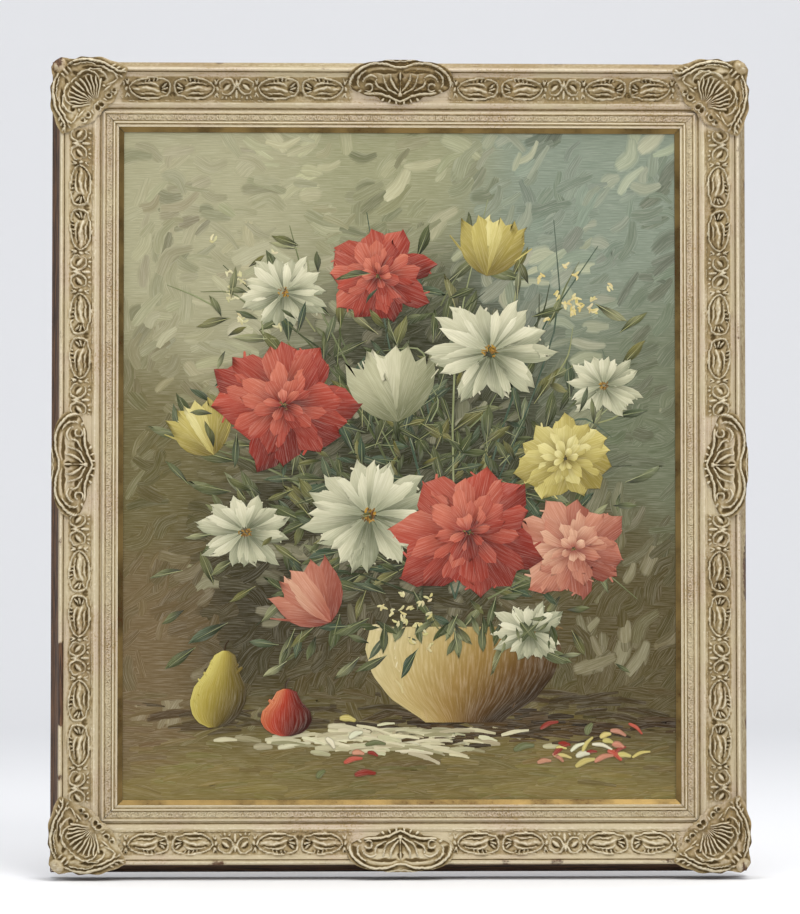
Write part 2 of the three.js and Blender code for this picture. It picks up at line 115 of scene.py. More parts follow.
class Carving:
    # a patch of low relief, drawn with ridges, hollows and domes, then read anywhere on it
    def __init__(self, left, right, low, high, step=0.28, waver=0.5, seed=3):
        self.left, self.low, self.step = left, low, step
        x, y = np.meshgrid(np.arange(left, right + step, step), np.arange(low, high + step, step))
        # the hand that cut it wavers, so no line runs quite true
        self.x = x + waver * (blot(x, y, 5.2, seed) + 0.5 * blot(x, y, 2.3, seed + 1))
        self.y = y + waver * (blot(x, y, 4.6, seed + 2) + 0.5 * blot(x, y, 2.1, seed + 3))
        self.uneven = 1 + 0.16 * blot(x, y, 3.4, seed + 4) + 0.1 * blot(x, y, 1.5, seed + 5)
        self.height = np.zeros_like(self.x)

    def ridge(self, points, width, rise, ruffle=0.0, beat=3.0, ends=0.55):
        # width is half across; ends says how thin the line gets at its ends
        line = curve(points, 5) if len(points) > 2 else np.array(points, float)
        lengths = np.hypot(*np.diff(line, axis=0).T)
        run = np.concatenate([[0], np.cumsum(lengths)])
        nearest = np.full(self.x.shape, 1e9)
        where = np.zeros(self.x.shape)
        for i, (a, b) in enumerate(zip(line, line[1:])):
            way = b - a
            share = np.clip(((self.x - a[0]) * way[0] + (self.y - a[1]) * way[1])
                            / max(way @ way, 1e-9), 0, 1)
            off = np.hypot(self.x - a[0] - share * way[0], self.y - a[1] - share * way[1])
            closer = off < nearest
            nearest[closer] = off[closer]
            where[closer] = (run[i] + share * lengths[i])[closer]
        share = where / run[-1]
        swell = ends + (1 - ends) * np.sin(math.pi * np.clip(share, 0, 1)) ** 0.6
        wave = 1 + ruffle * np.cos(2 * math.pi * where / beat)
        body = rise * swell * wave * self.uneven * (1 - (nearest / (width * swell)) ** 2)
        self.height = np.where(nearest < width * 1.7, np.maximum(self.height, body), self.height)

    def ring(self, centre, radius, width, rise, start, sweep):
        turns = np.radians(np.linspace(start, start + sweep, 13))
        line = [(centre[0] + radius * math.cos(t), centre[1] + radius * math.sin(t)) for t in turns]
        self.ridge(line, width, rise, ends=0.6)

    def dome(self, centre, radius, rise):
        off = np.hypot(self.x - centre[0], self.y - centre[1]) / radius
        body = rise * self.uneven * (1 - off ** 2)
        self.height = np.where(off < 1.5, np.maximum(self.height, body), self.height)

    def hollow(self, centre, radii, depth):
        off = np.hypot((self.x - centre[0]) / radii[0], (self.y - centre[1]) / radii[1])
        self.height -= depth * (1 - ease(off, 0.35, 1.15))

    def finish(self, soften=1.8):
        # what lies low among its neighbours is darkened with dirt and painted shade, what stands proud is
        # rubbed and given a painted highlight
        around = self.height
        reachSteps = max(1, round(soften / self.step))
        for axis in (0, 1, 0, 1):
            margins = [(reachSteps, reachSteps) if a == axis else (0, 0) for a in (0, 1)]
            padded = np.pad(around, margins, "edge")
            total = np.cumsum(padded, axis)
            total = np.insert(total, 0, 0, axis)
            wide = 2 * reachSteps + 1
            top = np.take(total, range(wide, total.shape[axis]), axis)
            around = (top - np.take(total, range(0, total.shape[axis] - wide), axis)) / wide
        self.dirtAndShade = np.clip((around - self.height) / 1.25, 0, 1)
        self.rubbedAndHighlit = np.clip((self.height - around) / 1.3, 0, 1)
        return self

    def read(self, field, x, y):
        gx = np.clip((x - self.left) / self.step, 0, self.x.shape[1] - 1.001)
        gy = np.clip((y - self.low) / self.step, 0, self.x.shape[0] - 1.001)
        ix, iy = gx.astype(int), gy.astype(int)
        fx, fy = gx - ix, gy - iy
        return ((field[iy, ix] * (1 - fx) + field[iy, ix + 1] * fx) * (1 - fy)
                + (field[iy + 1, ix] * (1 - fx) + field[iy + 1, ix + 1] * fx) * fy)


def makePiece(name, points, faces, material, marks=None, closed=True, crease=None):
    # a mesh from arrays; marks are colours or vectors kept on its points for the shader
    if closed:
        fans = [(f[0], f[i], f[i + 1]) for f in faces for i in range(1, len(f) - 1)]
        corners = points[np.array(fans)]
        volume = np.einsum("ij,ij->i", corners[:, 0], np.cross(corners[:, 1], corners[:, 2])).sum()
        if volume < 0:
            faces = [f[::-1] for f in faces]
    mesh = bpy.data.meshes.new(name)
    mesh.from_pydata(points.tolist(), [], faces)
    for key, values in (marks or {}).items():
        wide = values.shape[1] == 4
        layer = mesh.attributes.new(key, "FLOAT_COLOR" if wide else "FLOAT_VECTOR", "POINT")
        layer.data.foreach_set("color" if wide else "vector", values.astype(np.float32).ravel())
    mesh.shade_smooth()
    if crease:
        mesh.set_sharp_from_angle(angle=math.radians(crease))
    mesh.materials.append(material)
    piece = bpy.data.objects.new(name, mesh)
    bpy.context.scene.collection.objects.link(piece)
    return piece


def tubeFaces(rows, columns):
    # quads of a grid that closes on itself across
    faces = []
    for r in range(rows - 1):
        a, b = r * columns, (r + 1) * columns
        for c in range(columns):
            d = (c + 1) % columns
            faces.append((a + c, a + d, b + d, b + c))
    return faces


class Amount:
    # a number that varies over a surface, ready for sums
    def __init__(self, recipe, socket):
        self.recipe, self.socket = recipe, socket

    def sum(self, operation, first, second=0.0, clamp=False):
        made = self.recipe.node("Math", {"operation": operation, "use_clamp": clamp}, {0: first, 1: second})
        return Amount(self.recipe, made.outputs[0])

    def __add__(self, other):
        return self.sum("ADD", self, other)

    def __sub__(self, other):
        return self.sum("SUBTRACT", self, other)

    def __rsub__(self, other):
        return self.sum("SUBTRACT", other, self)

    def __mul__(self, other):
        return self.sum("MULTIPLY", self, other)

    __radd__ = __add__

    def clamp(self):
        return self.sum("ADD", self, 0.0, True)

    def over(self, low, high):
        # 0 at low, 1 at high, smooth between
        made = self.recipe.node("MapRange", {"interpolation_type": "SMOOTHSTEP"},
                                {"Value": self, "From Min": low, "From Max": high})
        return Amount(self.recipe, made.outputs["Result"])


class Recipe:
    # a material put together from nodes
    def __init__(self, name):
        self.material = bpy.data.materials.new(name)
        self.material.use_nodes = True
        self.tree = self.material.node_tree
        self.tree.nodes.clear()
        self.place = self.node("TexCoord").outputs["Object"]

    def node(self, kind, settings=None, sockets=None):
        made = self.tree.nodes.new("ShaderNode" + kind)
        for key, value in (settings or {}).items():
            setattr(made, key, value)
        for key, value in (sockets or {}).items():
            socket = made.inputs[key]
            if isinstance(value, Amount):
                value = value.socket
            if isinstance(value, bpy.types.NodeSocket):
                self.tree.links.new(value, socket)
            elif isinstance(value, (list, tuple)) and socket.type == "RGBA":
                socket.default_value = (*value[:3], 1)
            else:
                socket.default_value = value
        return made

    def amount(self, socket):
        return Amount(self, socket)

    def mark(self, name):
        # the colour, vector or number that a mesh keeps under a name
        return self.node("Attribute", {"attribute_name": name})

    def parts(self, name):
        split = self.node("SeparateColor", None, {"Color": self.mark(name).outputs["Color"]})
        return [self.amount(split.outputs[key]) for key in ("Red", "Green", "Blue")]

    def scaled(self, vector, by):
        made = self.node("VectorMath", {"operation": "MULTIPLY"}, {0: vector, 1: by})
        return made.outputs[0]

    def noise(self, vector, scale, detail=3.0, roughness=0.55):
        made = self.node("TexNoise", None, {"Vector": vector, "Scale": scale, "Detail": detail,
                                            "Roughness": roughness})
        return self.amount(made.outputs["Fac"])

    def mix(self, factor, first, second, way="MIX"):
        made = self.node("Mix", {"data_type": "RGBA", "blend_type": way}, {0: factor, 6: first, 7: second})
        return made.outputs[2]

    def finish(self, colour, roughness, height=None, depth=0.0002, metallic=0.0, **fixed):
        sockets = {"Base Color": colour, "Roughness": roughness, "Metallic": metallic, **fixed}
        if height is not None:
            bump = self.node("Bump", None, {"Height": height, "Distance": depth, "Strength": 0.8})
            sockets["Normal"] = bump.outputs["Normal"]
        shader = self.node("BsdfPrincipled", None, sockets)
        output = self.node("OutputMaterial", None, {"Surface": shader.outputs["BSDF"]})
        output.is_active_output = True
        return self.material


framePaint = {
    "cream": hue(182, 168, 137),
    "pale": hue(214, 204, 178),
    "rose": hue(182, 164, 141),
    "ochre": hue(146, 122, 74),
    # dark olive-brown for dirt and for the painted shade in hollows, creases and on the side strips turned
    # from the light
    "dirtAndShade": hue(76, 58, 24),
    "thinDirtAndShade": hue(132, 111, 66),
    "wood": hue(104, 74, 50),
    "darkWood": hue(48, 38, 32),
}


def agedPaintMaterial():
    look = Recipe("aged_cream_paint")
    grain = look.mark("grain").outputs["Vector"]
    dirtAndShade, rubbedAndHighlit, bareAndShade = look.parts("wear_and_painted_light")
    broad = look.noise(look.place, 14.0, 3.0)
    fine = look.noise(look.place, 260.0, 4.0, 0.65)
    specks = look.noise(look.place, 620.0, 2.0)
    streaks = look.noise(look.scaled(grain, (0.035, 1.1, 0.3)), 1.0, 4.0, 0.6)
    colour = look.mix(broad.over(0.38, 0.66), framePaint["cream"], framePaint["rose"])
    colour = look.mix(fine.over(0.5, 0.8) * 0.4, colour, framePaint["pale"])
    colour = look.mix(streaks.over(0.52, 0.72) * 0.5, colour, framePaint["thinDirtAndShade"])
    # dirt in the hollows and creases, with the painted shade that stands in for their shadow; heavier on the
    # faces turned from the light
    soilAndShade = (dirtAndShade + (fine - 0.5) * 0.7 + (broad - 0.5) * 0.4).clamp()
    colour = look.mix(soilAndShade.over(0.06, 0.4) * 0.8, colour, framePaint["thinDirtAndShade"])
    colour = look.mix(soilAndShade.over(0.3, 0.85) * 0.94, colour, framePaint["dirtAndShade"])
    # painted highlight on what stands proud, with rubbed wear
    proud = (rubbedAndHighlit + (fine - 0.5) * 0.7).over(0.34, 0.85)
    colour = look.mix(proud * 0.7, colour, framePaint["pale"])
    worn = (specks * 0.6 + broad * 0.55 + streaks * 0.3).over(0.79, 0.93)
    colour = look.mix(worn * 0.75, colour, framePaint["ochre"])
    # bare wood where the paint is worn through, and dark wood as painted shade on the side strips turned
    # from the light
    strippedAndShaded = (bareAndShade * 1.5 + (fine - 0.5) * 1.1 + (streaks - 0.5) * 0.8).over(0.42, 0.72)
    timber = look.mix(streaks.over(0.35, 0.65), framePaint["darkWood"], framePaint["wood"])
    colour = look.mix(strippedAndShaded, colour, timber)
    roughness = 0.66 + (fine - 0.5) * 0.25 + dirtAndShade * 0.15
    height = fine * 0.7 + specks * 0.3 + streaks * 0.25 - strippedAndShaded * 0.3
    return look.finish(colour, roughness, height, 0.00045, **{"Specular IOR Level": 0.3})


goldLeaf = {
    "leaf": hue(122, 100, 58),
    "old": hue(80, 64, 34),
    "bole": hue(84, 54, 26),
}


def gildingMaterial():
    look = Recipe("rubbed_gilding")
    broad = look.noise(look.place, 30.0, 4.0)
    fine = look.noise(look.place, 480.0, 3.0, 0.6)
    colour = look.mix(broad.over(0.35, 0.7), goldLeaf["leaf"], goldLeaf["old"])
    worn = (broad * 0.5 + fine * 0.6).over(0.62, 0.74)
    colour = look.mix(worn * 0.85, colour, goldLeaf["bole"])
    return look.finish(colour, 0.36 + worn * 0.3, fine, 0.0001, 0.85)


paintFilm = {
    "glossRoughness": 0.4,
    "streakDepth": 0.00013,
    "varnish": hue(226, 222, 200),
    "furrow": hue(150, 148, 132),     # what the furrows between bristle marks keep of the light
    # what the bristle ridges catch of the light: a painted highlight
    "ridge": hue(238, 232, 214),
}


def oilMaterial():
    look = Recipe("oil_paint")
    pigment = look.mix(1.0, look.mark("pigment").outputs["Color"], paintFilm["varnish"], "MULTIPLY")
    bristle = look.noise(look.scaled(look.mark("grain").outputs["Vector"], (0.05, 1.5, 1.0)), 1.0, 4.0, 0.65)
    body = look.noise(look.place, 150.0, 3.0)
    darker = look.mix(1.0, pigment, paintFilm["furrow"], "MULTIPLY")
    # painted shade and painted highlight along the bristle streaks
    colour = look.mix(bristle.over(0.3, 0.72) * 0.22, pigment, darker)
    colour = look.mix((1 - bristle).over(0.42, 0.75) * 0.12, colour, paintFilm["ridge"])
    return look.finish(colour, paintFilm["glossRoughness"] + (body - 0.5) * 0.2, bristle * 0.8 + body * 0.4,
                       paintFilm["streakDepth"], **{"Specular IOR Level": 0.1})


def linenMaterial():
    look = Recipe("linen_back")
    threads = {"Vector": look.place, "Scale": 260.0, "Distortion": 1.2, "Detail": 2.0}
    bands = [look.node("TexWave", {"wave_type": "BANDS", "bands_direction": way}, threads) for way in "XZ"]
    warp, weft = [look.amount(band.outputs["Fac"]) * 0.5 for band in bands]
    weave = warp + weft
    stain = look.noise(look.place, 9.0, 4.0)
    colour = look.mix(weave.over(0.25, 0.75), hue(128, 108, 78), hue(186, 168, 134))
    colour = look.mix(stain.over(0.52, 0.8) * 0.45, colour, hue(110, 86, 56))
    return look.finish(colour, 0.9, weave, 0.0002)


def rawWoodMaterial():
    look = Recipe("raw_pine")
    rings = look.noise(look.scaled(look.place, (30.0, 90.0, 30.0)), 3.0, 5.0, 0.6)
    fibre = look.noise(look.place, 420.0, 3.0)
    colour = look.mix(rings.over(0.35, 0.65), hue(190, 154, 106), hue(150, 112, 70))
    colour = look.mix(fibre.over(0.5, 0.8) * 0.3, colour, hue(118, 86, 54))
    return look.finish(colour, 0.72 + (fibre - 0.5) * 0.2, fibre * 0.5 + rings * 0.5, 0.0002)


def steelMaterial():
    look = Recipe("dulled_steel")
    spots = look.noise(look.place, 900.0, 3.0)
    colour = look.mix(spots.over(0.45, 0.7), hue(150, 146, 138), hue(96, 80, 62))
    return look.finish(colour, 0.35 + spots * 0.25, spots, 0.00005, 0.9)


agedPaint = agedPaintMaterial()
gilding = gildingMaterial()
oil = oilMaterial()
linen = linenMaterial()
rawWood = rawWoodMaterial()
steel = steelMaterial()
print("materials mixed")


# Run of scrollwork: half a unit, from a joint at 0 to the bud in the middle of the next cluster at 57
runShape = {
    "pitch": 114.0,
    "first": {"across": 88.75, "upright": 114.25},
    "start": 19.0,
    "width": 17.4,
    "drawnStart": 17.0,
    "drawnWidth": 17.0,
    "fadeIn": (14.2, 15.6),         # across the band, as drawn
    "fadeOut": (36.6, 37.4),
    "cornerClear": (66, 58),        # where it dies out under a corner, back from the rail's end
    "centreClear": (40, 46),        # and under a centre, out from the middle
}


def carveRun():
    run = Carving(-1, 58, 14, 38, waver=0.75)
    for centre, radii, depth in [
            ((7.5, 24.2), (4.2, 4.6), 3.2), ((26, 22.4), (9, 1.6), 1.8), ((18, 18.8), (8, 1.2), 1.5),
            ((48.8, 22.6), (4.6, 3.4), 2.6), ((39.8, 19.6), (1.7, 2.2), 1.8), ((40, 29.4), (1.6, 2), 1.5),
            ((57, 21.5), (1.2, 3.0), 2.2), ((21, 30.8), (8, 1.0), 1.3), ((1, 30), (2.0, 3.0), 1.8)]:
        run.hollow(centre, radii, depth)
    # a long oval: thin rims round a smooth pointed leaf
    outer = [(3.2, 20.4), (7.4, 17.6), (14, 16.2), (22, 16.2), (29.4, 17.4), (34.8, 20)]
    inner = [(3.6, 28.6), (8.4, 31.6), (15.4, 33.3), (23.4, 33), (30.4, 31.4), (35.4, 28.4)]
    run.ridge([(2.4, 24.2), *outer, (37.6, 24)], 1.0, 3.7, 0.07, 2.2, ends=0.8)
    run.ridge([(2.4, 24.2), *inner, (37.6, 24)], 1.05, 3.4, 0.06, 2.6, ends=0.8)
    run.ridge([(10.5, 26.8), (16, 25.6), (23, 25), (30, 25.4), (35.4, 24.6)], 2.5, 3.0, ends=0.3)
    run.ridge([(11.6, 22.6), (17, 20.8), (24, 20.2), (30.6, 21.6)], 1.0, 2.4)
    for points in ([(5, 21), (8.4, 23.4)], [(4.6, 24.6), (8.6, 25.4)], [(5.6, 28.4), (9, 27)]):
        run.ridge(points, 0.75, 2.2)
    run.ridge([(13, 30.2), (19, 29.4), (27, 28.8), (33, 27.4)], 1.0, 2.2)
    for x in (12.4, 15.8, 19.4, 23.2):
        run.ridge([(x, 17), (x + 1.1, 19.6)], 0.85, 2.9)
    # knuckles between it and the round cell
    run.ridge([(38, 17.4), (39.8, 21), (41.8, 17.8)], 0.95, 3.4)
    run.ridge([(39.9, 23.6), (39.8, 27)], 1.5, 3.2)
    run.ridge([(38, 31.4), (39.8, 29), (41.6, 31.6)], 0.95, 2.8)
    run.ridge([(42.8, 24), (43.2, 20), (46.2, 17.2), (50, 16.6), (53.6, 18.2), (55.4, 22), (54.2, 26.6),
               (50, 29.6), (45.8, 28.6), (43.4, 26.2)], 1.0, 3.7, 0.06, 2.4)
    run.ridge([(45.6, 25.6), (49, 24), (52.4, 21.4)], 1.9, 3.0, ends=0.35)
    for points in ([(43.8, 33), (46.2, 31.4)], [(48.4, 33.8), (48.8, 31.8)], [(53, 33.2), (52, 31)],
                   [(57, 26), (57, 33)], [(57, 17), (56.5, 20.6), (57, 24.2)]):
        run.ridge(points, 1.15, 2.9)
    run.ridge([(-1, 34.9), (58, 34.9)], 0.7, 1.3, 0.2, 2.2, ends=1)
    run.ridge([(-1, 36.5), (58, 36.5)], 0.5, 0.7, ends=1)
    run.ridge([(-1, 15.2), (58, 15.2)], 0.6, 1.0, 0.2, 2.4, ends=1)
    return run.finish()


# Strip of leaf tips inside the cushion: half a unit again, a leaf at 0 and a tulip at the other end
leafShape = {"pitch": 29.1, "start": 49.2, "width": 5.9, "drawnStart": 47.4, "drawnWidth": 5.1}


def carveLeaves():
    strip = Carving(-0.5, 15, 47.2, 52.8, 0.2)
    strip.height -= 0.25
    strip.ridge([(0, 52.2), (0, 49.8)], 0.75, 0.95)
    strip.ridge([(0, 50), (1.9, 48)], 0.7, 0.95)
    strip.ridge([(4.2, 48.3), (2.9, 49.9), (4, 51.8), (5.6, 51)], 0.65, 0.9)
    strip.ridge([(6.4, 48.2), (8.6, 48.6), (8.4, 51.4), (6.6, 51.2), (6.3, 49.4)], 0.6, 0.9)
    strip.ridge([(10.2, 48.2), (11.2, 50), (10, 51.9)], 0.7, 0.95)
    strip.ridge([(12.4, 48.4), (13.1, 50.6), (14.6, 51.8)], 0.7, 0.95)
    strip.dome((14.6, 49), 0.9, 0.9)
    return strip.finish(1.0)


runCarving = carveRun()
leafCarving = carveLeaves()


def folded(along, first, pitch):
    # distance along from the nearest joint, up to half a pitch
    off = np.mod(np.abs(along) - first, pitch)
    return np.minimum(off, pitch - off)


railShape = {
    "step": 1.05,
    # end of each member as (inward, height), the point that bends it, and how many facets it takes
    "members": [
        ((0, 8), None, 2), ((2.9, 15.5), (0.58, 11.75), 5), ((8.7, 40.3), (6.96, 23), 8),
        ((10.65, 44.7), (8.7, 44.7), 4), ((12.6, 42.5), (12.6, 44.7), 3), ((12.97, 41.6), None, 1),
        ((13.7, 42.5), None, 1), ((19, 38.1), (15.29, 39), 5), ((36.4, 30.5), None, 24),
        ((43.6, 28.9), (40.0, 33.1), 7), ((43.8, 26.7), None, 1), ((44.4, 26.7), None, 1),
        ((46.8, 29.7), (46.8, 26.7), 4), ((49.2, 29.7), None, 2), ((49.2, 28.9), None, 1),
        ((55.1, 27.8), None, 10), ((55.1, 28.9), None, 1), ((57.6, 28.9), None, 2), ((57.6, 27.8), None, 1),
        ((60.2, 27.8), None, 2), ((60.2, 25.5), None, 1), ((54, 25.5), None, 1), ((54, 0), None, 1),
        ((0, 0), None, 1)],
    "sideEnd": 9.0,
    "lipEnd": 13.2,
    "creases": [13.0, 44.1, 49.2, 55.1, 57.8],         # dirt and painted shade lie here
    "arrises": [10.65, 39.9, 46.9, 56.4, 60.2],        # and it is rubbed off here, with a painted highlight
}


def railLine():
    points, end = [], np.array([0.0, 0.0])
    for target, control, count in railShape["members"]:
        target = np.array(target, float)
        control = (end + target) / 2 if control is None else np.array(control, float)
        for share in np.arange(1, count + 1) / count:
            points.append(end * (1 - share) ** 2 + control * 2 * share * (1 - share) + target * share ** 2)
        end = target
    return np.array(points)


def nearLines(inward, places, width):
    return np.max([np.exp(-((inward - p) / width) ** 2) for p in places], axis=0)


def asMark(*fields):
    # a row of numbers for each point
    return np.stack(fields, -1).reshape(-1, len(fields))


# what castings lie on, from outside the lip in to the flats
castingGround = [(-6, 45.0), (12.9, 45.1), (14, 43.3), (19, 38.9), (36.4, 31.1), (40, 32.5),
                 (43.6, 30.4), (70, 30.2)]


def groundUnder(inward):
    return np.interp(inward, *np.array(castingGround).T)


def makeRail(side, seed):
    line = railLine()
    half = reach(side)
    columns = int(2 * half / railShape["step"])
    share = np.linspace(-1, 1, columns)[:, None]
    inward, rise = line[:, 0][None], line[:, 1][None]
    along = share * (half - inward - size["mitreGap"])
    inward, rise = np.broadcast_to(inward, along.shape), np.broadcast_to(rise, along.shape)
    first = runShape["first"]["across" if side in ("top", "bottom") else "upright"]
    front = rise > 26
    wander = blot(along + 37, inward, 19, seed) * 0.45
    x = folded(along + wander, first, runShape["pitch"])
    u = runShape["drawnStart"] + (inward - runShape["start"]) * runShape["drawnWidth"] / runShape["width"]
    u = u + blot(along, inward + 90, 15, seed + 1) * 0.35
    clear = 1 - ease(np.abs(along), *[half - back for back in runShape["cornerClear"]])
    clear *= ease(np.abs(along), *runShape["centreClear"])
    inBand = front * ease(u, *runShape["fadeIn"]) * (1 - ease(u, *runShape["fadeOut"])) * clear
    strong = 0.8 + 0.24 * blot(along, inward, 9, seed + 2)
    carved = runCarving.read(runCarving.height, x, u) * inBand * strong
    leafX = folded(along + 7 * seed, 0, leafShape["pitch"])
    inLeaf = front & (inward > 49.4) & (inward < 54.9)
    leafScale = leafShape["drawnWidth"] / leafShape["width"]
    leafY = leafShape["drawnStart"] + (inward - leafShape["start"]) * leafScale
    carved = carved + leafCarving.read(leafCarving.height, leafX, leafY) * inLeaf
    rough = (blot(along, inward, 6.5, seed + 3) * 0.14 + blot(along, inward, 2.1, seed + 4) * 0.07) * front
    uneven = blot(along, inward, 3.3, seed + 6) * 0.34 + blot(along, inward, 1.7, seed + 7) * 0.2
    rough = rough + uneven * inBand
    points = placed(side, along, inward, rise + carved + rough).reshape(-1, 3)
    dirtAndShade = runCarving.read(runCarving.dirtAndShade, x, u) * inBand
    dirtAndShade = dirtAndShade + leafCarving.read(leafCarving.dirtAndShade, leafX, leafY) * inLeaf
    dirtAndShade = np.maximum(dirtAndShade, nearLines(inward, railShape["creases"], 0.5) * front * 0.75)
    # a wash over the carved band, heaviest on the top rail and then the right, which face away from the
    # light: dirt with painted shade
    soilAndShade = {"top": 0.4, "right": 0.3}.get(side, 0.24) * (1 + 0.5 * blot(along, inward, 17, seed + 8))
    dirtAndShade = np.maximum(dirtAndShade * 0.85, soilAndShade * inBand)
    # the outer side strips are darker on the bottom and left, which face away from the light: painted shade
    onSide = (rise < 40) * (inward < railShape["sideEnd"])
    dirtAndShade = np.maximum(dirtAndShade, onSide * (0.75 if side in ("bottom", "left") else 0.3))
    rubbedAndHighlit = runCarving.read(runCarving.rubbedAndHighlit, x, u) * inBand
    rubbedAndHighlit = np.maximum(rubbedAndHighlit, nearLines(inward, railShape["arrises"], 0.8) * front * 0.8)
    # dark bare wood on the side strips, most on the bottom and left, where it also stands in as painted
    # shade; the back and rebate are bare wood
    sideShadeAndBare = {"top": 0.1, "right": 0.24, "bottom": 0.95, "left": 0.8}[side]
    bareAndShade = onSide * sideShadeAndBare + (rise < 24) * (inward > railShape["sideEnd"]) * 1.0
    onLip = inward < railShape["lipEnd"]
    patches = ease(blot(along, inward * 2.2, 23, seed + 5), 0.35, 0.95) * onLip * 0.5
    bareAndShade = np.maximum(bareAndShade, patches)
    if side == "left":
        # long bare patch on the outer edge, low down
        patch = ease(-along, 150, 168) * (1 - ease(-along, 222, 236))
        bareAndShade = np.maximum(bareAndShade, patch * onLip)
    marks = {"wear_and_painted_light": asMark(dirtAndShade, rubbedAndHighlit, bareAndShade, 0 * dirtAndShade), "grain": asMark(along, inward, rise + 40 * seed)}
    count = len(line)
    faces = tubeFaces(columns, count)
    faces += [tuple(range(count))[::-1], tuple(range((columns - 1) * count, columns * count))]
    piece = makePiece("dressed_rail_" + side, points, faces, agedPaint, marks, crease=48)
    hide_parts("rail_" + side)
    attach(piece, "root")


for number, side in enumerate(sides):
    makeRail(side, number + 1)
print("rails carved")


# Corner ornaments. Places are (across, down) from the frame's outer corner; the relief is drawn for
# across >= down and read folded over the diagonal
cornerShape = {
    "body": 1.0,        # thickness before the relief
    "hinge": 41.0,      # where the shell's flutes meet, from both outer edges
    "rim": 40.2,
    "turns": 300,
    "rings": 46,
    "flutes": 11,
    "spread": 112.0,    # degrees from the first flute to the last
    "worn": {"top_left": 1.2, "bottom_right": 0.7},
}


def carveCorner():
    hinge = cornerShape["hinge"]
    shell = Carving(-7, 78, -7, 64, 0.28, waver=0.6)

    def fan(turn, radius):
        angle = math.radians(45 - turn)
        across, down = hinge - radius * math.sin(angle), hinge - radius * math.cos(angle)
        return (across, down)

    shell.dome((hinge, hinge), 38, 1.2)
    for centre, radii, depth in [
            ((36, 10.4), (8, 1.9), 3.4), ((46.6, 19.6), (3.2, 2.2), 2.4), ((22, 14.4), (3, 2), 1.6),
            ((45, 41.6), (2.2, 2), 1.7), ((51.6, 33), (1.5, 1.5), 1.3), ((56.6, 28.6), (1.3, 1.3), 1.0)]:
        shell.hollow(centre, radii, depth)
    for i in range(cornerShape["flutes"] // 2 + 1):
        turn = i * cornerShape["spread"] / (cornerShape["flutes"] - 1)
        tip = 26.2 - 0.35 * i ** 1.6
        for side in (-1, 1):
            shell.ridge([fan(turn * side, 5.5), fan(turn * side, tip * 0.62)], 0.8, 2.9, ends=0.7)
            shell.ridge([fan(turn * side, tip * 0.5), fan(turn * side, tip)], 1.25, 4.0, ends=0.75)
    rim = [fan(turn, 29.4 + 0.4 * (i % 2)) for i, turn in enumerate(range(-54, 55, 6))]
    shell.ridge(rim, 0.7, 3.0, ends=0.9)
    shell.ring((44.6, 41.5), 3.0, 1.0, 4.0, 20, 280)
    shell.ring((51.6, 33), 2.6, 0.85, 3.7, -60, 250)
    shell.ring((56.6, 28.6), 2.2, 0.75, 3.4, -30, 230)
    # small leaves over the plate inside the fan
    for points in ([(47, 30), (51, 27.4), (54.6, 24)], [(50, 24.6), (55, 22.6), (59, 19.4)],
                   [(46.4, 36), (50.4, 38.4)], [(46, 24.6), (49.6, 26.2)], [(56, 33), (59.4, 30.4)]):
        shell.ridge(points, 1.2, 3.0, ends=0.4)
    # ruffled scroll along the outer side, its edge bent back over a deep recess
    shell.ridge([(14, 8.6), (20, 5.2), (27, 3.6), (34, 3.2), (41, 4.4), (47, 6.2), (54, 10), (61, 13),
                 (68.5, 14)], 1.4, 4.6, 0.08, 2.7, ends=0.45)
    shell.ridge([(19, 8.4), (27, 6.4), (35, 6), (41, 7.4)], 0.7, 3.6, 0.06, 2.2)
    shell.ridge([(41, 8.2), (47, 10), (54, 14), (62, 17)], 1.1, 3.6, ends=0.4)
    shell.ridge([(41.6, 12), (47, 14.4), (51, 19.4)], 1.1, 3.4, ends=0.4)
    shell.ridge([(24, 15.6), (31, 13), (38, 14), (42.6, 17.6), (44, 22.6)], 1.0, 3.4)
    shell.ridge([(28, 18), (34, 16.4), (39.4, 19)], 0.8, 2.6)
    for points in ([(54, 9.4), (57.4, 7.2)], [(58.6, 11.2), (62.4, 9.2)], [(63.4, 13), (67, 11)],
                   [(56.4, 15.2), (60, 19.6)], [(61, 16.4), (64.6, 19)]):
        shell.ridge(points, 0.95, 3.0, ends=0.4)
    shell.dome((8, 8), 7.0, 4.6)
    shell.ridge([(11, 11), (16, 16)], 1.6, 3.8)
    shell.ridge([(15.6, 9.6), (18.6, 13.6)], 1.0, 3.4)
    return shell.finish(2.0)


def cornerOutline(turn):
    edge = cornerShape["rim"] / np.cos(np.radians(45 - np.minimum(turn, 45)))
    lobes = np.interp(turn, [0, 7, 14, 19, 27, 45], [0.905, 0.99, 0.965, 0.95, 1, 1])
    inner = np.interp(turn, [45, 60, 68, 80, 86, 89, 92, 97, 106, 118, 140, 180],
                      [40.2, 39.8, 39.8, 40.4, 41.6, 41.4, 36, 26, 21.4, 17.6, 10.8, 7.4])
    soft = 0.45 * np.cos(np.radians(turn * 14)) * (turn > 12)
    return np.where(turn < 45, edge * lobes, inner) + soft


def shellGrid(points, rings, turns):
    # rings of a shell round its middle, closed with a middle point at each end
    faces = tubeFaces(rings, turns)
    first, last = len(points), len(points) + 1
    whole = np.vstack([points, points[:turns].mean(0), points[-turns:].mean(0)])
    for t in range(turns):
        n = (t + 1) % turns
        faces.append((first, n, t))
        faces.append((last, (rings - 1) * turns + t, (rings - 1) * turns + n))
    return whole, faces


def cappedMark(*fields):
    # the same for a shell, with its two middle points
    mark = asMark(*fields)
    return np.vstack([mark, mark[:1], mark[-1:]])


cornerCarving = carveCorner()


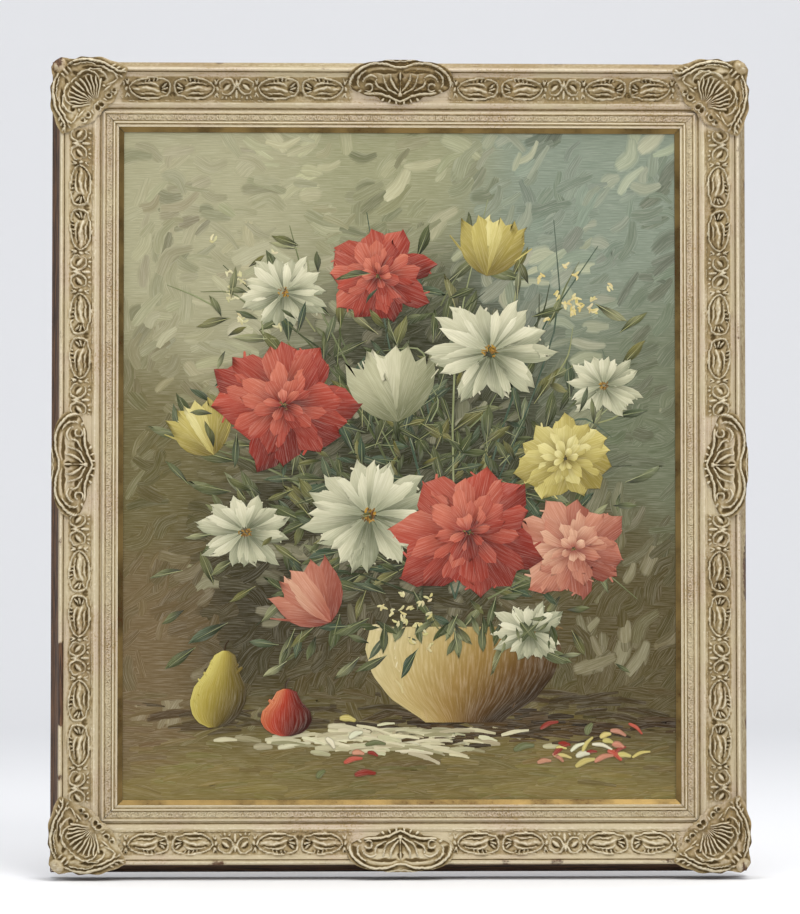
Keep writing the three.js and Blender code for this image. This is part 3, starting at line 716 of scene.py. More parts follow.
def makeCorner(name, side, seed):
    turns, rings, hinge = cornerShape["turns"], cornerShape["rings"], cornerShape["hinge"]
    turn = np.linspace(-180, 180, turns, endpoint=False)[None]
    angle = np.radians(45 - turn)
    outline = cornerOutline(np.abs(turn))
    share = (np.linspace(0.02, 1, rings)[:, None]) ** 0.92
    radius = share * outline
    across, down = hinge - radius * np.sin(angle), hinge - radius * np.cos(angle)
    x = across + blot(across, down, 11, seed) * 0.35
    y = down + blot(across, down, 9, seed + 1) * 0.35
    far, near = np.maximum(x, y), np.minimum(x, y)
    lift = cornerCarving.read(cornerCarving.height, far, near)
    edge = ease(share, 0.9, 1.0)
    lift = lift * (1 - 0.6 * edge) + 0.5 + blot(x, y, 3.1, seed + 2) * 0.34 + blot(x, y, 6.4, seed + 3) * 0.3
    ground = groundUnder(np.minimum(across, down))
    height = np.maximum(ground + cornerShape["body"] + lift, ground + 0.15)
    dirtAndShade = cornerCarving.read(cornerCarving.dirtAndShade, far, near)
    rubbedAndHighlit = cornerCarving.read(cornerCarving.rubbedAndHighlit, far, near)
    # round the edge, down it, and under, darker as painted shade where it turns under
    rows = [(across, down, height, dirtAndShade, rubbedAndHighlit)]
    lowEdge = np.minimum(across[-1:], down[-1:])
    outside = 1 - ease(lowEdge, 1.5, 5.0)
    for pull, fall in ((0.0, 1.4), (0.25, 3.2), (2.4, 6.5), (5.0, 9.5), (14, 15)):
        edge = outline * (1 - pull / outline)
        drop = fall * (0.55 + 0.75 * outside)
        rows.append((hinge - edge * np.sin(angle), hinge - edge * np.cos(angle),
                     height[-1:] - drop, dirtAndShade[-1:] + min(pull, 0.8), rubbedAndHighlit[-1:] * (pull < 0.2)))
    across, down, height, dirtAndShade, rubbedAndHighlit = [np.vstack(column) for column in zip(*rows)]
    worn = np.exp(-(((across - 5) ** 2 + (down - 5) ** 2) / 90)) * cornerShape["worn"].get(name, 0.5)
    bareAndShade = np.clip(worn * (0.6 + 0.5 * blot(across, down, 4.5, seed + 4)), 0, 1) * 0.8
    points = placed(side, reach(side) - across, down, height).reshape(-1, 3)
    whole, faces = shellGrid(points, across.shape[0], turns)
    # dirt over the whole casting, with the painted shade of its hollows
    soiledAndShaded = np.clip(dirtAndShade * 0.9 + 0.19 + 0.12 * blot(across, down, 13, seed + 5), 0, 1)
    marks = {"wear_and_painted_light": cappedMark(soiledAndShaded, rubbedAndHighlit, bareAndShade, 0 * dirtAndShade), "grain": cappedMark(across, down, height)}
    piece = makePiece("dressed_corner_" + name, whole, faces, agedPaint, marks)
    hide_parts("corner_" + name)
    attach(piece, "root")


for seed, (side, name) in enumerate({"top": "top_right", "right": "bottom_right", "bottom": "bottom_left",
                                     "left": "top_left"}.items()):
    makeCorner(name, side, 40 + 7 * seed)
print("corners cast")


centreShape = {
    "body": 0.5,
    "half": 47.0,       # half its length
    "tall": 20.0,       # half its breadth
    "middle": 20.6,     # how far in its middle is from the outer edge
    "turns": 270,
    "rings": 42,
}


def carveCentre():
    plate = Carving(-1, 54, -4, 46, 0.28, waver=0.6)
    for centre, radii, depth in [
            ((14, 12.8), (13, 2.2), 3.2), ((27, 21), (3.4, 2.6), 2.6), ((0, 17), (3.6, 2.6), 2.6),
            ((17, 24), (3, 2.2), 2.0), ((40.4, 22), (2.6, 3.4), 2.6), ((21, 30), (4, 1.6), 1.8)]:
        plate.hollow(centre, radii, depth)
    plate.ridge([(-1, 9.6), (5, 8.2), (12, 6.8), (19, 5.8), (26, 6.4), (32, 8.8), (38, 12.6), (43, 17.6),
                 (45, 23), (43, 28.4), (38.6, 30.6), (34.8, 28.4)], 1.3, 4.6, 0.07, 2.8, ends=0.7)
    plate.ridge([(0, 4.2), (8, 3.2), (16, 2.8), (24, 3.4), (31, 5.8)], 0.9, 2.6)
    plate.ridge([(30, 12), (35, 15.4), (38, 20.4), (36.6, 25.4)], 1.0, 3.6)
    plate.ring((28, 26.4), 3.0, 0.95, 4.0, 30, 300)
    # two straps that meet in a bead, and fronds spread from it
    plate.ridge([(0, 14.6), (0, 32)], 1.1, 3.8, ends=0.8)
    plate.dome((0, 32.6), 2.1, 4.4)
    plate.ridge([(1, 30), (5.4, 25.4), (8.4, 19.4), (9, 15.4)], 1.1, 3.5, ends=0.5)
    plate.ridge([(2, 32), (9, 28), (13.6, 22.4), (15.4, 16.6)], 1.0, 3.4, ends=0.5)
    plate.ridge([(12, 28.4), (18, 26.6), (21.6, 22.6), (21, 18)], 1.0, 3.6)
    plate.ridge([(21, 17.4), (26, 15.6), (31, 17.4), (33.4, 21.4)], 0.95, 3.4)
    plate.ridge([(32, 30.4), (26, 31.2), (18, 32), (9, 34.4), (0, 38.6)], 1.3, 4.2, 0.06, 2.8, ends=0.75)
    for points in ([(3.4, 37.6), (4, 40.6)], [(8.6, 36.4), (10.4, 39.6)], [(14.4, 35), (17, 38)],
                   [(20.6, 34.2), (24, 36.4)]):
        plate.ridge(points, 1.2, 3.2)
    return plate.finish(2.0)


centreCarving = carveCentre()


def centreOutline(turn):
    half, tall = centreShape["half"], centreShape["tall"]
    # bearings from the outer side round an end to the inner side, and how far it reaches at each
    arcs = [
        (tall, [(0, 0.9), (12, 0.93), (22, 0.98), (33, 1.08), (45, 1.2), (52, 1.34)]),
        (half, [(60, 0.68), (66, 0.77), (72, 0.86), (79, 0.95), (86, 1.0), (92, 0.985), (97, 0.95),
                (102, 0.87), (107, 0.76), (113, 0.66), (119, 0.55)]),
        (tall, [(127, 1.2), (136, 1.14), (146, 1.08), (156, 1.02), (168, 1.0), (180, 1.0)])]
    places, reaches = zip(*[(place, share * unit) for unit, arc in arcs for place, share in arc])
    return np.interp(turn, places, reaches) + 0.45 * np.cos(np.radians(turn * 16)) * (turn > 100)


def makeCentre(side, seed):
    turns, rings = centreShape["turns"], centreShape["rings"]
    turn = np.linspace(0, 360, turns, endpoint=False)[None]
    angle = np.radians(turn)
    outline = centreOutline(np.minimum(turn, 360 - turn))
    share = np.linspace(0.02, 1, rings)[:, None]
    radius = share * outline
    along, inward = radius * np.sin(angle), centreShape["middle"] - radius * np.cos(angle)
    x = np.abs(along + blot(along, inward, 12, seed) * 0.3)
    y = inward + blot(along, inward, 10, seed + 1) * 0.3
    lift = centreCarving.read(centreCarving.height, x, y)
    lift = lift * (1 - 0.55 * ease(share, 0.9, 1.0)) + 0.6
    lift = lift + blot(along, inward, 3.1, seed + 2) * 0.34 + blot(along, inward, 6.4, seed + 3) * 0.25
    height = np.maximum(groundUnder(inward) + centreShape["body"] + lift, groundUnder(inward) + 0.15)
    dirtAndShade = centreCarving.read(centreCarving.dirtAndShade, x, y)
    rubbedAndHighlit = centreCarving.read(centreCarving.rubbedAndHighlit, x, y)
    rows = [(along, inward, height, dirtAndShade, rubbedAndHighlit)]
    # down the edge and under, each row darker as painted shade
    for pull, fall in ((0.0, 1.5), (0.3, 3.4), (2.6, 8.0), (6.0, 13.0)):
        edge = outline * (1 - pull / outline)
        rows.append((edge * np.sin(angle), centreShape["middle"] - edge * np.cos(angle),
                     height[-1:] - fall, dirtAndShade[-1:] + pull, rubbedAndHighlit[-1:] * (pull < 0.2)))
    along, inward, height, dirtAndShade, rubbedAndHighlit = [np.vstack(column) for column in zip(*rows)]
    points = placed(side, along, inward, height).reshape(-1, 3)
    whole, faces = shellGrid(points, along.shape[0], turns)
    # painted shade: the outer end and the whole centre are darker on the top rail, which faces away from the
    # light, and lighter on the bottom one
    outer = ease(-inward, -10, -2) * {"top": 0.45, "bottom": 0.1}.get(side, 0.2)
    outer = outer + {"top": 0.3, "bottom": 0.08}.get(side, 0.1)
    soiledAndShaded = np.clip(dirtAndShade * 0.9 + outer, 0, 1)
    bareAndShade = 0 * dirtAndShade
    marks = {"wear_and_painted_light": cappedMark(soiledAndShaded, rubbedAndHighlit, bareAndShade, 0 * dirtAndShade), "grain": cappedMark(along, inward, height)}
    piece = makePiece("dressed_centre_" + side, whole, faces, agedPaint, marks)
    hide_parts("centre_" + side)
    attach(piece, "root")


for number, side in enumerate(sides):
    makeCentre(side, 90 + 9 * number)
print("centres cast")


# Canvas: one cloth over the bars, painted on the front
canvasShape = {"columns": 96, "rows": 116, "sag": 0.35}

# Broad washes under the flowers: place (shares right and down), how far each reaches, colour
washes = [
    ((0.10, 0.12), 0.30, hue(174, 173, 153)), ((0.47, 0.03), 0.20, hue(156, 158, 134)),
    ((0.88, 0.10), 0.26, hue(136, 150, 146)), ((0.96, 0.40), 0.20, hue(112, 120, 104)),
    ((0.02, 0.48), 0.2, hue(106, 98, 64)), ((0.52, 0.48), 0.31, hue(48, 50, 30)),
    ((0.30, 0.68), 0.20, hue(54, 48, 28)), ((0.84, 0.70), 0.18, hue(86, 76, 46)),
    ((0.04, 0.74), 0.14, hue(118, 100, 74)), ((0.50, 0.85), 0.24, hue(52, 42, 24)),
    ((0.50, 1.03), 0.30, hue(142, 128, 80)),
]


def groundColour(right, down):
    right, down = np.asarray(right), np.asarray(down)
    paint, total = 0, 0
    for (x, y), far, colour in washes:
        share = np.exp(-2.4 * ((right - x) ** 2 + (down - y) ** 2) / far ** 2)
        paint = paint + share[..., None] * np.array(colour)
        total = total + share
    return paint / total[..., None]


def makeCanvas():
    wide, tall = size["canvasWidth"] / 2, size["canvasHeight"] / 2
    depth = size["clothFront"] - size["clothBack"]
    fold = size["clothFold"]

    def unrolled(half, count):
        front = np.linspace(-half, half, count)
        edge = np.array([depth * 0.5, depth, depth + fold * 0.5, depth + fold])
        return np.concatenate([-half - edge[::-1], front, half + edge])

    right, up = np.meshgrid(unrolled(wide, canvasShape["columns"]), unrolled(tall, canvasShape["rows"]))

    def rolled(place, half):
        past = np.maximum(np.abs(place) - half, 0)
        back = np.maximum(past - depth, 0)
        return np.sign(place) * (np.minimum(np.abs(place), half) - back), np.minimum(past, depth), back

    x, downX, backX = rolled(right, wide)
    z, downZ, backZ = rolled(up, tall)
    x = np.where(np.abs(right) <= wide, x * (1 - backZ / wide), x)
    z = np.where(np.abs(up) <= tall, z * (1 - backX / tall), z)
    middle = np.cos(np.clip(x / wide, -1, 1) * math.pi / 2) * np.cos(np.clip(z / tall, -1, 1) * math.pi / 2)
    front = (downX == 0) & (downZ == 0)
    y = -(size["clothFront"] - downX - downZ - canvasShape["sag"] * middle * front)
    points = np.stack([x, y, z + size["middle"]], -1) / 1000
    keep = ~((downX > 0) & (downZ > 0))
    rows, columns = right.shape
    faces = []
    for r in range(rows - 1):
        for c in range(columns - 1):
            if keep[r, c] and keep[r, c + 1] and keep[r + 1, c] and keep[r + 1, c + 1]:
                a = r * columns + c
                faces.append((a, a + 1, a + columns + 1, a + columns))
    used = np.zeros(rows * columns, bool)
    used[np.array(faces).ravel()] = True
    fresh = np.cumsum(used) - 1
    faces = [tuple(int(fresh[i]) for i in f) for f in faces]
    flatPoints = points.reshape(-1, 3)[used]
    share = np.stack([(right + wide) / (2 * wide), 1 - (up + tall) / (2 * tall)], -1).reshape(-1, 2)[used]
    pigment = np.concatenate([groundColour(share[:, 0], share[:, 1]), np.ones((len(flatPoints), 1))], 1)
    grain = np.stack([right.ravel()[used], up.ravel()[used], 0 * up.ravel()[used]], -1)
    cloth = makePiece("painted_canvas", flatPoints, faces, oil, {"pigment": pigment, "grain": grain},
                      closed=False)
    cloth.data.materials.append(linen)
    thick = cloth.modifiers.new("cloth", "SOLIDIFY")
    thick.thickness, thick.offset, thick.use_even_offset = size["clothThickness"] / 1000, -1, True
    thick.material_offset = 1
    thick.material_offset_rim = 1
    for face in cloth.data.polygons:
        if face.normal.y > -0.5:
            face.material_index = 1
    return cloth


strokeShape = {
    "margin": 1.5,        # no paint nearer the canvas's edge than this
    "hidden": 9.0,        # under the slip it stays thin
    "thin": 0.12,
    "lightFrom": 125,     # bearing of the picture's own light, in degrees
    "points": 6,
}


class Easel:
    # keeps every stroke of paint as a low ridge with its own colours, and makes one mesh of them
    def __init__(self):
        self.points, self.faces, self.pigment, self.grain = [], [], [], []
        self.count, self.strokes = 0, 0

    def patch(self, flat, rise, colours, run, aside):
        # places in rows and columns, in millimetres from the middle of the canvas, right and up
        rows, columns = flat.shape[:2]
        half = np.array([size["canvasWidth"], size["canvasHeight"]]) / 2
        flat = np.clip(flat, strokeShape["margin"] - half, half - strokeShape["margin"])
        rim = (np.abs(flat) > half - strokeShape["hidden"]).any(-1)
        rise = np.where(rim, np.minimum(rise, strokeShape["thin"]), rise)
        x, z = flat[..., 0] / half[0], flat[..., 1] / half[1]
        sag = canvasShape["sag"] * np.cos(x * math.pi / 2) * np.cos(z * math.pi / 2)
        y = -(size["clothFront"] - sag + rise)
        self.points.append(asMark(flat[..., 0], y, flat[..., 1] + size["middle"]) / 1000)
        for r in range(rows - 1):
            for c in range(columns - 1):
                a = self.count + r * columns + c
                self.faces.append((a, a + columns, a + columns + 1, a + 1))
        colours = np.clip(colours, 0, 1).reshape(-1, 3)
        self.pigment.append(np.concatenate([colours, np.ones((len(colours), 1))], 1))
        self.grain.append(asMark(run, aside, np.full(run.shape, self.strokes * 3.7 % 997)))
        self.count += rows * columns
        self.strokes += 1

    def stroke(self, path, width, colour, lift, tint, thin, under=None):
        # thin says how narrow it starts and ends, under is what its edges melt into
        line = curve(path, 3)
        line = line[np.linspace(0, len(line) - 1, strokeShape["points"]).astype(int)]
        way = np.gradient(line, axis=0)
        way /= np.maximum(np.hypot(*way.T), 1e-6)[:, None]
        aside = np.stack([-way[:, 1], way[:, 0]], -1)
        rows = len(line)
        swell = np.interp(np.linspace(0, 1, rows), [0, 0.3, 0.7, 1], [thin[0], 1, 0.95, thin[1]]) * width / 2
        line = np.vstack([line[0] - way[0] * width * 0.16, line, line[-1] + way[-1] * width * 0.16])
        aside = np.vstack([aside[:1], aside, aside[-1:]])
        swell = np.concatenate([swell[:1] * 0.6, swell, swell[-1:] * 0.6])
        shoulder = 0.74 if under is None else 0.45
        across = np.array([-1.0, -shoulder, shoulder, 1.0])
        flat = line[:, None] + aside[:, None] * (swell[:, None] * across)[..., None]
        foot = np.concatenate([[1], np.zeros(rows), [1]])
        low = (foot[:, None] > 0) | (np.abs(across)[None] > 0.9)
        varied = 1 + chance.normal(0, tint, 3) * 0.4 + chance.normal(0, tint)
        shade = np.clip(np.array(colour)[None] * varied, 0, 1)
        fade = (1 + np.linspace(0.04, -0.05, rows + 2))[:, None, None]
        edge = shade * 0.9 if under is None else np.array(under)[None]
        colours = np.where(low[..., None], edge, shade * fade)
        run = np.concatenate([[0], np.cumsum(np.hypot(*np.diff(line, axis=0).T))])[:, None] + 0 * across
        self.patch(flat, np.where(low, lift * 0.8 - 0.06, lift), colours, run, swell[:, None] * across)

    def petal(self, root, length, width, degrees, tones, lift, bend, point):
        # tones are its root, its lit side and its far side; a greater point makes a finer tip
        share, side = np.meshgrid(np.linspace(0, 1, 7), np.linspace(-1, 1, 5), indexing="ij")
        swell = np.sin(math.pi * share ** 1.3) ** point
        angle = math.radians(degrees)
        along = share * length * (1 + 0.07 * np.cos(side * 5 + chance.uniform(0, 6)) * share)
        aside = side * swell * width / 2 + bend * length * share ** 2
        flat = np.array(root) + along[..., None] * np.array([math.cos(angle), math.sin(angle)]) \
            + aside[..., None] * np.array([-math.sin(angle), math.cos(angle)])
        facing = math.cos(angle + math.radians(90 - strokeShape["lightFrom"]))
        lit = np.clip(0.5 + 0.6 * side * facing + chance.normal(0, 0.1), 0, 1)[..., None]
        body = np.array(tones[1]) * lit + np.array(tones[2]) * (1 - lit)
        out = ease(share, 0.05, 0.75)[..., None]
        colours = np.array(tones[0]) * (1 - out) + body * out
        colours = colours * (1 + chance.normal(0, 0.035, (1, 5, 1)) + 0.05 * (share ** 3)[..., None])
        rise = lift + 0.05 * (1 - side ** 2) * (0.4 + share) - 0.015
        self.patch(flat, rise, colours, along, aside)

    def finish(self):
        marks = {"pigment": np.vstack(self.pigment), "grain": np.vstack(self.grain)}
        print("strokes of paint:", self.strokes, "triangles:", 2 * len(self.faces))
        return makePiece("oil_strokes", np.vstack(self.points), self.faces, oil, marks, closed=False)


easel = Easel()


def spot(right, down):
    # shares of the sight opening, right and down, as millimetres from the canvas's middle
    wide, tall = size["canvasWidth"] - 2 * size["sightInset"], size["canvasHeight"] - 2 * size["sightInset"]
    return np.array([(right - 0.5) * wide, (0.5 - down) * tall])


def blend(first, second, share):
    return [a * (1 - share) + b * share for a, b in zip(first, second)]


def pick(shades, place):
    place = min(max(place, 0), len(shades) - 1.001)
    return blend(shades[int(place)], shades[int(place) + 1], place % 1)


def turned(length, degrees):
    return length * np.array([math.cos(math.radians(degrees)), math.sin(math.radians(degrees))])


class Layers:
    # each later stroke stands a hair higher than the one before, and each thing clear of the last
    def __init__(self, low, step, dried):
        self.level, self.step, self.dried = low, step, dried

    def next(self):
        self.level += self.step
        return self.level + abs(chance.normal(0, 0.008))

    def dry(self):
        self.level += self.dried


layers = Layers(0.03, 0.00009, 0.03)


def dab(middle, length, width, degrees, colour, bend=0.12, tint=0.05, under=None):
    way = turned(length / 2, degrees)
    aside = turned(length * bend, degrees + 90)
    path = [middle - way, middle + aside, middle + way]
    easel.stroke(path, width, colour, layers.next(), tint, (0.6, 0.5), under)


def paintGround():
    # scumbled ground behind everything, then the table
    for i in range(1020):
        right, down = chance.random(2)
        down = down * 0.88
        colour = groundColour(right, down)
        middle = spot(right, down)
        flow = 40 + 55 * blot(np.array(right * 10), np.array(down * 10), 2.2, 5) + chance.normal(0, 26)
        light = blot(np.array(right * 14), np.array(down * 14), 1.0, 9) + chance.normal(0, 0.3)
        other = hue(220, 218, 198) if light > 0 else hue(70, 72, 52)
        shade = blend(colour, other, min(0.5, 0.5 * abs(light)) * (1 - 0.6 * down))
        long, wide = chance.uniform(14, 36), chance.uniform(8, 20)
        dab(middle, long, wide, flow, shade, chance.normal(0, 0.1), 0.04, under=colour)
    for i in range(330):
        right, down = chance.random(), chance.uniform(0.84, 1.0)
        colour = groundColour(right, down)
        if abs(down - 0.865 - 0.02 * math.sin(right * 7)) < 0.018 and right > 0.05:
            colour = blend(colour, hue(52, 36, 20), 0.65)
        long, wide = chance.uniform(16, 46), chance.uniform(5, 10)
        dab(spot(right, down), long, wide, chance.normal(2, 7), colour, 0.03, 0.07,
            under=groundColour(right, down))


bowlShape = {"right": 0.615, "rim": 0.742, "foot": 0.885, "halfRim": 0.168, "halfFoot": 0.07, "belly": 0.178}


def paintRound(middle, tall, profile, lean, shades, strokes):
    # an upright round thing, shaded round from its lit side; profile is height and half width, both shares
    layers.dry()
    share, side = np.meshgrid(np.linspace(-1, 1, 18), np.linspace(-1, 1, 14), indexing="ij")
    heights, widths = np.array(profile).T
    swell = np.interp(share, heights, widths)
    flat = np.array(middle) + np.stack([side * swell * tall + lean * share, share * tall], -1)

    def toneAt(across, height):
        return (across * 0.9 - height * 0.4 + 0.95) / 1.9 * (len(shades) - 1)

    colours = np.array([[pick(shades, toneAt(a, h)) for a, h in zip(*pair)] for pair in zip(side, share)])
    rise = layers.next() + 0.12 * (1 - side ** 2) - 0.04
    easel.patch(flat, rise, colours, share * tall, side * tall * 0.6)
    for i in range(strokes):
        height, across = chance.uniform(-0.78, 0.66), chance.uniform(-0.8, 0.8)
        tone = toneAt(across, height)
        right = across * np.interp(height, heights, widths) * tall + lean * height
        place = np.array(middle) + np.array([right, height * tall])
        long, wide = tall * chance.uniform(0.28, 0.5), chance.uniform(3, 6.5)
        colour = pick(shades, tone + chance.normal(0, 0.22))
        dab(place, long, wide, 88 - across * 40, colour, 0.1 * np.sign(across), 0.02,
            under=pick(shades, tone))


def paintBowl():
    # a wide low bowl of tan glaze, lit from the left
    shades = [hue(212, 198, 158), hue(194, 172, 122), hue(158, 128, 76), hue(104, 76, 42), hue(56, 40, 22)]
    b = bowlShape
    wide = size["canvasWidth"] - 2 * size["sightInset"]
    tall = (b["foot"] - b["rim"]) * (size["canvasHeight"] - 2 * size["sightInset"]) / 2
    outline = [(-1, b["halfFoot"]), (-0.9, 0.08), (-0.5, 0.132), (0, 0.165), (0.55, b["belly"]),
               (1, b["halfRim"])]
    profile = [(height, share * wide / tall) for height, share in outline]
    paintRound(spot(b["right"], (b["rim"] + b["foot"]) / 2), tall, profile, 0, shades, 120)
    for i in range(46):
        across = -1 + 2 * i / 45
        place = spot(b["right"] + across * b["halfRim"], b["rim"] + 0.012 * (1 - across ** 2))
        away = np.clip((across + 1) / 2 + chance.normal(0, 0.1), 0, 1)
        colour = blend(hue(226, 214, 178), hue(110, 84, 48), away)
        dab(place, 12, 2.8, -across * 16, colour, 0.02, 0.04)
    for i in range(12):
        gleam = spot(b["right"] - 0.11 + chance.normal(0, 0.01), b["rim"] + 0.045 + chance.normal(0, 0.014))
        dab(gleam, chance.uniform(5, 11), 2.6, 62, hue(236, 228, 204), 0.1, 0.03, under=hue(206, 192, 152))


def paintShadow():
    for i in range(150):
        right, down = bowlShape["right"] + 0.08 + chance.normal(0, 0.11), 0.893 + chance.normal(0, 0.011)
        dab(spot(right, down), chance.uniform(14, 34), chance.uniform(3, 6), chance.normal(0, 5),
            blend(hue(48, 36, 20), hue(86, 66, 36), chance.random()), 0.02, 0.06)
    for i in range(120):
        # white cloth under the bowl, dragged on with a loaded brush
        right, down = 0.50 + chance.normal(0, 0.10), 0.912 + chance.normal(0, 0.012)
        colour = blend(hue(224, 220, 200), hue(150, 144, 118), chance.random() ** 1.5)
        long, wide = chance.uniform(14, 34), chance.uniform(4, 8)
        dab(spot(right, down), long, wide, chance.normal(-3, 8), colour, 0.04, 0.05,
            under=blend(colour, hue(110, 100, 70), 0.5))


def paintFruit(right, down, tall, wide, shades, lean):
    # a pear: a round belly and a narrow neck
    profile = [(-1, 0.2), (-0.92, 0.5), (-0.7, 0.82), (-0.35, 1), (0.05, 0.93), (0.4, 0.62), (0.75, 0.44),
               (0.94, 0.34), (1, 0.12)]
    middle = spot(right, down)
    paintRound(middle, tall, [(height, share * wide / tall) for height, share in profile], lean, shades, 44)
    dab(middle + np.array([lean, tall]) + np.array([1, 4]), 11, 1.9, 72, hue(64, 48, 28))
    for i in range(4):
        gleam = middle + np.array([-wide * 0.42, -tall * 0.1]) + chance.normal(0, 2, 2)
        dab(gleam, 7, 2.6, 74, hue(236, 226, 176), 0.1, under=shades[0])


def leaf(root, length, degrees, light, dark, width=0.3):
    # a bent blade, dark where it springs, and its rib
    bend = chance.normal(0, 0.16)
    tones = (dark, light, blend(light, dark, 0.6))
    easel.petal(root, length, length * width, degrees, tones, layers.next(), bend, 0.9)
    if length > 24:
        tip = root + turned(length * 0.9, degrees) + turned(bend * length * 0.8, degrees + 90)
        rib = blend(light, hue(186, 190, 150), 0.4)
        easel.stroke([root, (root + tip) / 2, tip], 0.9, rib, layers.next() + 0.05, 0.05, (0.6, 0.3))


greens = [hue(46, 56, 32), hue(78, 88, 54), hue(112, 120, 88), hue(146, 152, 118), hue(66, 88, 76),
          hue(34, 40, 24), hue(122, 118, 66), hue(178, 180, 148)]


def paintFoliage(count, spreadX=0.19, spreadY=0.17, long=(16, 38)):
    for i in range(count):
        right, down = 0.52 + chance.normal(0, spreadX), 0.52 + chance.normal(0, spreadY)
        if not (0.1 < right < 0.92 and 0.16 < down < 0.8):
            continue
        out = math.degrees(math.atan2(0.66 - down, right - 0.56)) + chance.normal(0, 44)
        deep = min(1, math.hypot(right - 0.52, down - 0.5) * 2.6)
        inner, outer = greens[chance.choice([1, 6, 1, 4])], greens[chance.choice([2, 3, 2, 7])]
        light = blend(inner, outer, deep * chance.random())
        length, dark = chance.uniform(*long), greens[chance.choice([0, 5, 5])]
        leaf(spot(right, down), length, out, light, dark, chance.uniform(0.2, 0.34))


def stem(points, width, colour):
    easel.stroke([spot(*p) for p in points], width, colour, layers.next(), 0.05, (0.9, 0.35))


def bloom(right, down, radius, rings, shades, tilt, point):
    # petals in rings from the outside in: how many, how far they reach, how wide, how light
    layers.dry()
    middle = spot(right, down)
    for count, far, wide, light in rings:
        start = chance.uniform(0, 360)
        for i in range(count):
            bearing = start + 360 * (i + chance.uniform(-0.3, 0.3)) / count
            angle = math.radians(bearing)
            squash = math.hypot(math.cos(angle), math.sin(angle) * tilt)
            facing = math.cos(angle - math.radians(strokeShape["lightFrom"]))
            tone = light + 0.55 * facing + chance.normal(0, 0.28)
            tones = (pick(shades, tone - 1.7), pick(shades, tone + 0.8), pick(shades, tone - 0.5))
            root = middle + turned(radius * far * 0.1, bearing)
            long = radius * far * squash * chance.uniform(0.86, 1.08)
            across = radius * wide * chance.uniform(0.82, 1.15)
            lean, bend = bearing + chance.normal(0, 8), chance.normal(0, 0.12)
            easel.petal(root, long, across, lean, tones, layers.next(), bend, point)
            # a loaded edge and a dry streak on it
            tip = root + turned(long * 0.86, lean) + turned(bend * long * 0.7, lean + 90)
            if chance.random() < 0.7:
                edge = pick(shades, tone + 0.9)
                dab(tip, across * 0.7, radius * 0.055, lean + 90 + chance.normal(0, 14), edge, 0.14, 0.03,
                    under=tones[1])
            dab(root + turned(long * 0.5, lean + chance.normal(0, 6)), long * 0.6, radius * 0.05, lean,
                pick(shades, tone + chance.normal(0, 0.7)), bend, 0.03, under=tones[2])


def eye(right, down, radius, dark, light, tilt):
    middle = spot(right, down)
    for i in range(18):
        off = turned(radius * math.sqrt(chance.random()), chance.uniform(0, 360))
        way, colour = chance.uniform(0, 360), blend(dark, light, chance.random() ** 1.5)
        dab(middle + off * np.array([1, tilt]), radius * 0.6, radius * 0.3, way, colour, 0.1, 0.06)


def poppy(right, down, radius, shades):
    # broad crumpled petals round a dark eye: shades run dark, middle, light, bright
    rings = [(9, 1.06, 0.7, 0.9), (9, 0.9, 0.62, 1.3), (8, 0.7, 0.52, 1.9), (7, 0.5, 0.4, 1.5),
             (6, 0.3, 0.26, 2.1)]
    bloom(right, down, radius, rings, shades, 0.86, 0.45)
    eye(right, down, radius * 0.1, hue(48, 30, 22), hue(140, 116, 60), 0.86)


white = [hue(96, 102, 84), hue(146, 152, 134), hue(190, 192, 176), hue(222, 220, 206),
         hue(238, 237, 228)]


def daisy(right, down, radius, petals, tilt=0.8):
    bloom(right, down, radius, [(petals, 1.06, 0.36, 1.7), (petals - 1, 0.92, 0.34, 2.6)], white, tilt, 0.55)
    eye(right, down, radius * 0.16, hue(104, 70, 28), hue(192, 148, 50), tilt)


def tulip(right, down, radius, shades, lean):
    # an open cup of broad petals seen from the side, the near ones last
    layers.dry()
    foot = spot(right, down) + turned(radius * 0.75, lean - 90)
    for spreadOut, light, wide in [(24, 0.9, 0.9), (-24, 1.3, 0.9), (46, 0.6, 0.62), (-46, 1.0, 0.62),
                                   (10, 1.7, 0.84), (-14, 2.3, 0.78)]:
        tones = (pick(shades, light - 1.0), pick(shades, light + 0.6), pick(shades, light - 0.3))
        way = 90 + lean - spreadOut + chance.normal(0, 3)
        easel.petal(foot, radius * 1.62, radius * wide, way, tones, layers.next(), 0.006 * spreadOut, 0.62)
        for j in range(3):
            place = foot + turned(radius * chance.uniform(0.6, 1.3), way + chance.normal(0, 5))
            streak = pick(shades, light + chance.normal(0.2, 0.6))
            dab(place, radius * 0.6, radius * 0.06, way, streak, 0.0, 0.03, under=tones[1])


def spray(right, down, spread, colour, count):
    # a cloud of small blossoms
    for i in range(count):
        place = spot(right + chance.normal(0, spread), down + chance.normal(0, spread * 0.8))
        for j in range(3):
            dab(place + chance.normal(0, 1.6, 2), chance.uniform(3.5, 6.5), 2.3, chance.uniform(0, 360),
                blend(colour, hue(240, 238, 222), chance.random() * 0.5), 0.1, 0.05)


coral = [hue(96, 28, 24), hue(150, 50, 44), hue(190, 84, 72), hue(216, 134, 118)]
rosePink = [hue(132, 62, 54), hue(180, 104, 92), hue(210, 148, 132), hue(232, 194, 176)]
lemon = [hue(120, 106, 52), hue(178, 164, 92), hue(214, 202, 134), hue(236, 230, 186)]
ivory = [hue(112, 116, 92), hue(166, 168, 146), hue(208, 206, 188), hue(234, 232, 220)]
pearSkin = [hue(216, 204, 122), hue(176, 160, 76), hue(122, 106, 46), hue(66, 54, 28)]
appleSkin = [hue(214, 128, 92), hue(180, 64, 46), hue(120, 36, 28), hue(60, 24, 18)]


